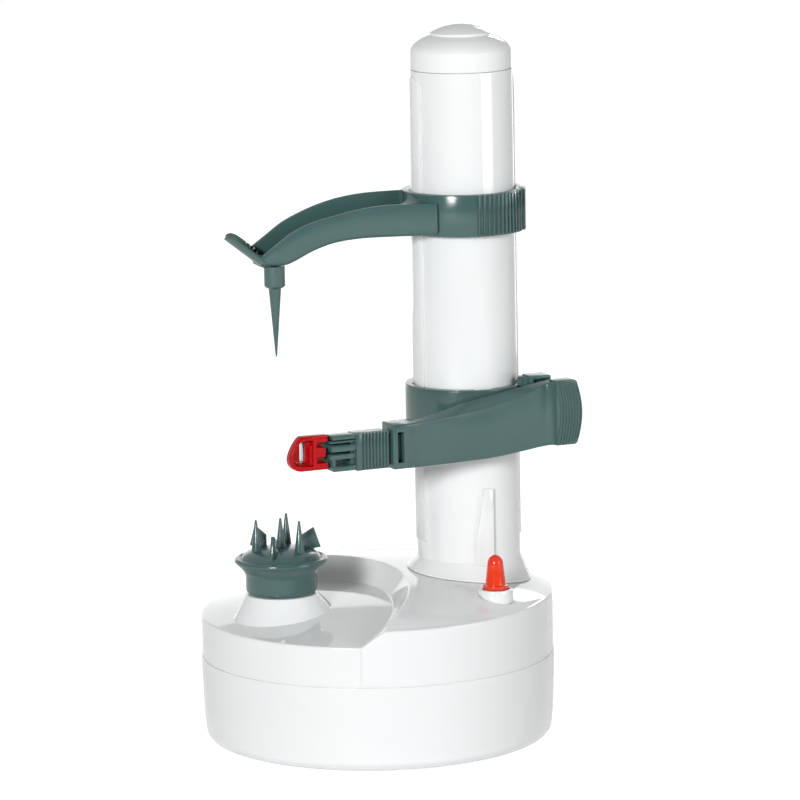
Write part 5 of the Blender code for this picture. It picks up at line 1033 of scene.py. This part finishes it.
# Height range, length and set-back of the five rails, which leave dark recesses between them
forkRails = (metres(13.4, 15.1, 2.4, 0.0), metres(11.9, 12.8, 1.6, 0.9), metres(8.4, 11.0, 1.9, 0.2),
             metres(5.2, 7.3, 1.2, 0.5), metres(0.3, 2.4, 2.4, 0.0))
forkRoot, forkEnd = forkStart - fork["root"], forkStart + fork["length"]
carrierPivot = forkEnd + fork["pinReach"]
pinAt = (carrierPivot, headBack + fork["tipDepth"] / 2)
inset = head["groove"]
grooveBack, grooveFront = headBack + inset, headFront - inset
forkParts = [makeBlock("forkBody", (forkRoot, headBack + inset / 2, head["low"] + inset),
                       (forkEnd, headBack + fork["plate"] + inset / 2, headHigh - inset))]
for low, high, reach, setBack in forkRails:
    forkParts.append(makeBlock("forkRail", (forkRoot, grooveBack, head["low"] + low),
                               (forkEnd - reach, grooveFront - setBack, head["low"] + high)))
forkParts += [makeBlock("forkPost", (forkEnd - fork["step"] - 1.3 * mm, grooveBack, head["low"] + 0.6 * mm),
                        (forkEnd - fork["step"], grooveFront - 0.5 * mm, head["low"] + 7.2 * mm)),
              makeBlock("forkRoot", (forkRoot, grooveBack, head["low"] + 0.5 * mm),
                        (forkStart + 1.5 * mm, grooveFront - 2.2 * mm, headHigh - 0.5 * mm))]
for low in (head["low"] + 2 * inset, headHigh - fork["prong"]):
    forkParts.append(makeBlock("forkProng", (forkEnd - fork["step"], grooveBack, low),
                               (carrierPivot + fork["pinReach"] / 2, headBack + fork["tipDepth"],
                                low + fork["prong"] - 2 * inset)))
for part in forkParts:
    joinWith(bladeHead, softenEdges(part, fork["edgeRound"], 2, 60))
cutWith(bladeHead, makeRod("headPinBore", fork["pinBore"], 120 * mm, 142 * mm, pinAt, 24))
placePiece(bladeHead, armPlace)
finishPiece(bladeHead, "arm", "blade_head", "green_plastic", 32)

# Blade carrier: a round-ended dish with hooks at the fork, and the slit blade behind it
carrier = inMetres(end=118.0, height=14.4, lift=1.0, wall=1.9, depth=4.6, floor=1.2, slack=0.4, hook=1.0,
                   hookHeight=2.7, edgeRound=0.7, slitWidth=2.2, slitHalf=4.7) | {"slope": 0.26}
centre = headFront - head["depth"] / 2
middle = headMiddle + carrier["lift"]
halfHigh = carrier["height"] / 2
bend = carrier["end"] - halfHigh
back, face = centre - carrier["depth"] / 2, centre + carrier["depth"] / 2


# The upper half of the end runs out in a long slope and the lower half is nearly round
def roundEnd(reach, start, n):
    bow = []
    for k in range(37):
        turn = pi * k / 36
        lean = carrier["slope"] * reach * (1 + cos(turn)) * sin(turn)
        bow.append((bend + reach * sin(turn) - lean, n, middle + reach * cos(turn) - 0.25 * lean))
    return [(start, n, middle + reach), *bow, (start, n, middle - reach)]


hookEnd = forkEnd - carrier["hook"]
bladeCarrier = extrudePiece("carrierDish", roundEnd(halfHigh, hookEnd, back), (0, carrier["depth"], 0))
softenEdges(bladeCarrier, carrier["edgeRound"], 4, 50)
# The hollow of the dish deepens in rounded steps from its lip to its floor
dishSteps = ((1.7, 0.0), (0.95, 0.15), (0.5, 0.5), (0.15, 1.1), (0.0, 1.9), (-0.25, 5.0))
dishRoom = loftPiece("dishRoom", [
    roundEnd(halfHigh - carrier["wall"] - close * mm, carrierPivot + 3.2 * mm + close * mm,
             back + carrier["floor"] + up * mm) for close, up in dishSteps])
low, high = middle - halfHigh, middle + halfHigh
hookGap = carrier["hookHeight"] - halfHigh
cutWith(bladeCarrier, dishRoom,
        makeBlock("forkRoom", (hookEnd - mm, back - mm, low - mm),
                  (carrierPivot + 1.7 * mm, headBack + fork["tipDepth"] - 0.4 * mm, high + mm)),
        makeBlock("hookGap", (hookEnd - mm, back - mm, low + carrier["hookHeight"]),
                  (forkEnd + carrier["slack"], face + mm, high - carrier["hookHeight"])))
notch = head["height"] / 2 - fork["prong"]
lugHalf = 1.9 * mm
joinWith(bladeCarrier, makeBlock("carrierLug", (carrierPivot - lugHalf, pinAt[1] - lugHalf,
                                                headMiddle - notch + carrier["slack"]),
                                 (carrierPivot + 4.3 * mm, face - mm, headMiddle + notch - carrier["slack"])))
for low, high in ((hookGap, -1.8 * mm), (2.0 * mm, -hookGap)):
    cutWith(bladeCarrier, makeBlock("tongueGap", (hookEnd - mm, back + 1.3 * mm, middle + low),
                                    (carrierPivot + 1.5 * mm, face + mm, middle + high)))
cutWith(bladeCarrier,
        makeRod("carrierPinBore", fork["pinBore"], headMiddle - notch - mm, headMiddle + notch + mm,
                pinAt, 24),
        makeBlock("bladeSlit", (bend - carrier["slitWidth"], back - mm, middle - carrier["slitHalf"]),
                  (bend, back + carrier["floor"] + mm, middle + carrier["slitHalf"])))
placePiece(bladeCarrier, armPlace)
finishPiece(bladeCarrier, "carrier", "blade_carrier", "red_plastic", 32)

bladeFront = back - 0.3 * mm
peelingBlade = makeBlock("bladePlate", (bend - 5.5 * mm, bladeFront - 0.5 * mm, middle - 4.9 * mm),
                         (bend + 2.4 * mm, bladeFront, middle + 4.3 * mm))
cutWith(peelingBlade, makeBlock("bladeSlot", (bend - 1.1 * mm, bladeFront - mm, middle - 3.5 * mm),
                                (bend + 0.55 * mm, bladeFront + mm, middle + 3.5 * mm)))
placePiece(softenEdges(peelingBlade, 0.12 * mm, 2, 60), armPlace)
finishPiece(peelingBlade, "carrier", "peeling_blade", "steel", 32)

# The frame's own solids that stay in view get the same finishes
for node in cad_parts.values():
    for place in node.material_slots:
        slotName = place.material.name.split(".")[0] if place.material else "black_plastic"
        place.material = finishes[slotFinishes.get(slotName, "mouldedBlack")]
print("solids kept from the frame:", sum(1 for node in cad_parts.values() if not node.hide_render))

# Floor, studio light and camera
studio = {"floorSize": 6.0, "floorColour": "#F4F4F4", "floorGlow": 0.84, "glowInGloss": 0.65,
          "skyForLight": 0.19, "backInGloss": 0.76, "frontInGloss": 0.12, "aboveShare": 0.7,
          "cardGlow": 1.75, "cardWidth": 1.1, "cardTop": 0.46, "cardAt": 1.0,
          "keyPower": 35.0, "keySize": 0.45, "keyAt": (-0.8, -2.05, 0.8),
          "fillPower": 9.0, "fillSize": 0.8, "fillAt": (1.5, -0.9, 0.6),
          "rimPower": 2.0, "rimSize": 0.36, "rimAt": (0.5, 1.8, 0.95)}
white = (1, 1, 1, 1)


def emptyTree(owner):
    owner.use_nodes = True
    owner.node_tree.nodes.clear()
    return owner.node_tree


# A mix whose share, first and second shader are given
def mixShaders(tree, share, first, second):
    return addNode(tree, "ShaderNodeMixShader", None, None, {0: share, 1: first, 2: second})


floor = addPrimitive(bpy.ops.mesh.primitive_grid_add, "studioFloor", x_subdivisions=12, y_subdivisions=12,
                     size=studio["floorSize"])
floorFinish = bpy.data.materials.new("matPaperFloor")
tree = emptyTree(floorFinish)
paper = addNode(tree, "ShaderNodeBsdfDiffuse", None, {"Color": hexColour(studio["floorColour"])})
glow = addNode(tree, "ShaderNodeEmission", None, {"Color": white, "Strength": studio["floorGlow"]})
ray = addNode(tree, "ShaderNodeLightPath")
# The glow is full in the view and weaker in reflections
seen = addNode(tree, "ShaderNodeMath", {"operation": "MULTIPLY_ADD"}, {1: studio["glowInGloss"]},
               {0: ray.outputs["Is Glossy Ray"], 2: ray.outputs["Is Camera Ray"]})
lit = addNode(tree, "ShaderNodeAddShader", None, None, {0: paper, 1: glow})
addNode(tree, "ShaderNodeOutputMaterial", None, None, {"Surface": mixShaders(tree, seen, paper, lit)})
floor.data.materials.append(floorFinish)

# A low bright card behind the object, there only for reflections in the glossy white
card = addPrimitive(bpy.ops.mesh.primitive_plane_add, "reflectorCard", size=1.0)
for vertex in card.data.vertices:
    vertex.co = (vertex.co.x * studio["cardWidth"], studio["cardAt"],
                 (vertex.co.y + 0.5) * studio["cardTop"])
cardFinish = bpy.data.materials.new("matReflectorCard")
tree = emptyTree(cardFinish)
ray = addNode(tree, "ShaderNodeLightPath")
cardClear = addNode(tree, "ShaderNodeBsdfTransparent")
cardLight = addNode(tree, "ShaderNodeEmission", None, {"Color": white, "Strength": studio["cardGlow"]})
cardMix = mixShaders(tree, ray.outputs["Is Glossy Ray"], cardClear, cardLight)
addNode(tree, "ShaderNodeOutputMaterial", None, None, {"Surface": cardMix})
card.data.materials.append(cardFinish)

world = bpy.data.worlds.new("studioSky")
bpy.context.scene.world = world
tree = emptyTree(world)
ray = addNode(tree, "ShaderNodeLightPath")
forLight = addNode(tree, "ShaderNodeBackground", None, {"Color": white, "Strength": studio["skyForLight"]})
# In reflections the paper behind and above the object is white, and the front is darker
direction = addNode(tree, "ShaderNodeTexCoord")
parts = addNode(tree, "ShaderNodeSeparateXYZ", None, None, {"Vector": direction.outputs["Generated"]})
behindAndAbove = addNode(tree, "ShaderNodeMath", {"operation": "MULTIPLY_ADD"}, {1: studio["aboveShare"]},
                         {0: parts.outputs["Z"], 2: parts.outputs["Y"]})
brightness = addNode(tree, "ShaderNodeMapRange", {"interpolation_type": "SMOOTHSTEP"},
                     {"From Min": -0.20, "From Max": 0.65, "To Min": studio["frontInGloss"],
                      "To Max": studio["backInGloss"]}, {"Value": behindAndAbove})
forGloss = addNode(tree, "ShaderNodeBackground", None, {"Color": white}, {"Strength": brightness})
forView = addNode(tree, "ShaderNodeBackground", None, {"Color": white, "Strength": 1.0})
glossMix = mixShaders(tree, ray.outputs["Is Glossy Ray"], forLight, forGloss)
viewMix = mixShaders(tree, ray.outputs["Is Camera Ray"], glossMix, forView)
addNode(tree, "ShaderNodeOutputWorld", None, None, {"Surface": viewMix})

target = Vector((0, 0, 0.15))
for name in ("key", "fill", "rim"):
    lampData = bpy.data.lights.new(f"{name}Softbox", "AREA")
    lampData.energy = studio[f"{name}Power"]
    lampData.size = studio[f"{name}Size"]
    lamp = bpy.data.objects.new(f"{name}Softbox", lampData)
    lamp.location = studio[f"{name}At"]
    lamp.rotation_euler = (target - lamp.location).to_track_quat("-Z", "Y").to_euler()
    bpy.context.scene.collection.objects.link(lamp)

view = {"at": (0.01131, -2.30045, 0.54887), "turn": (79.99618, 1.08673, -0.19168), "lens": 251.57,
        "sensor": 36.0}
cameraData = bpy.data.cameras.new("photoCamera")
cameraData.lens = view["lens"]
cameraData.sensor_width = view["sensor"]
camera = bpy.data.objects.new("photoCamera", cameraData)
camera.location = view["at"]
camera.rotation_euler = [radians(angle) for angle in view["turn"]]
bpy.context.scene.collection.objects.link(camera)
bpy.context.scene.camera = camera
bpy.context.scene.view_settings.view_transform = "Standard"

deselectAll()
print("scene ready")
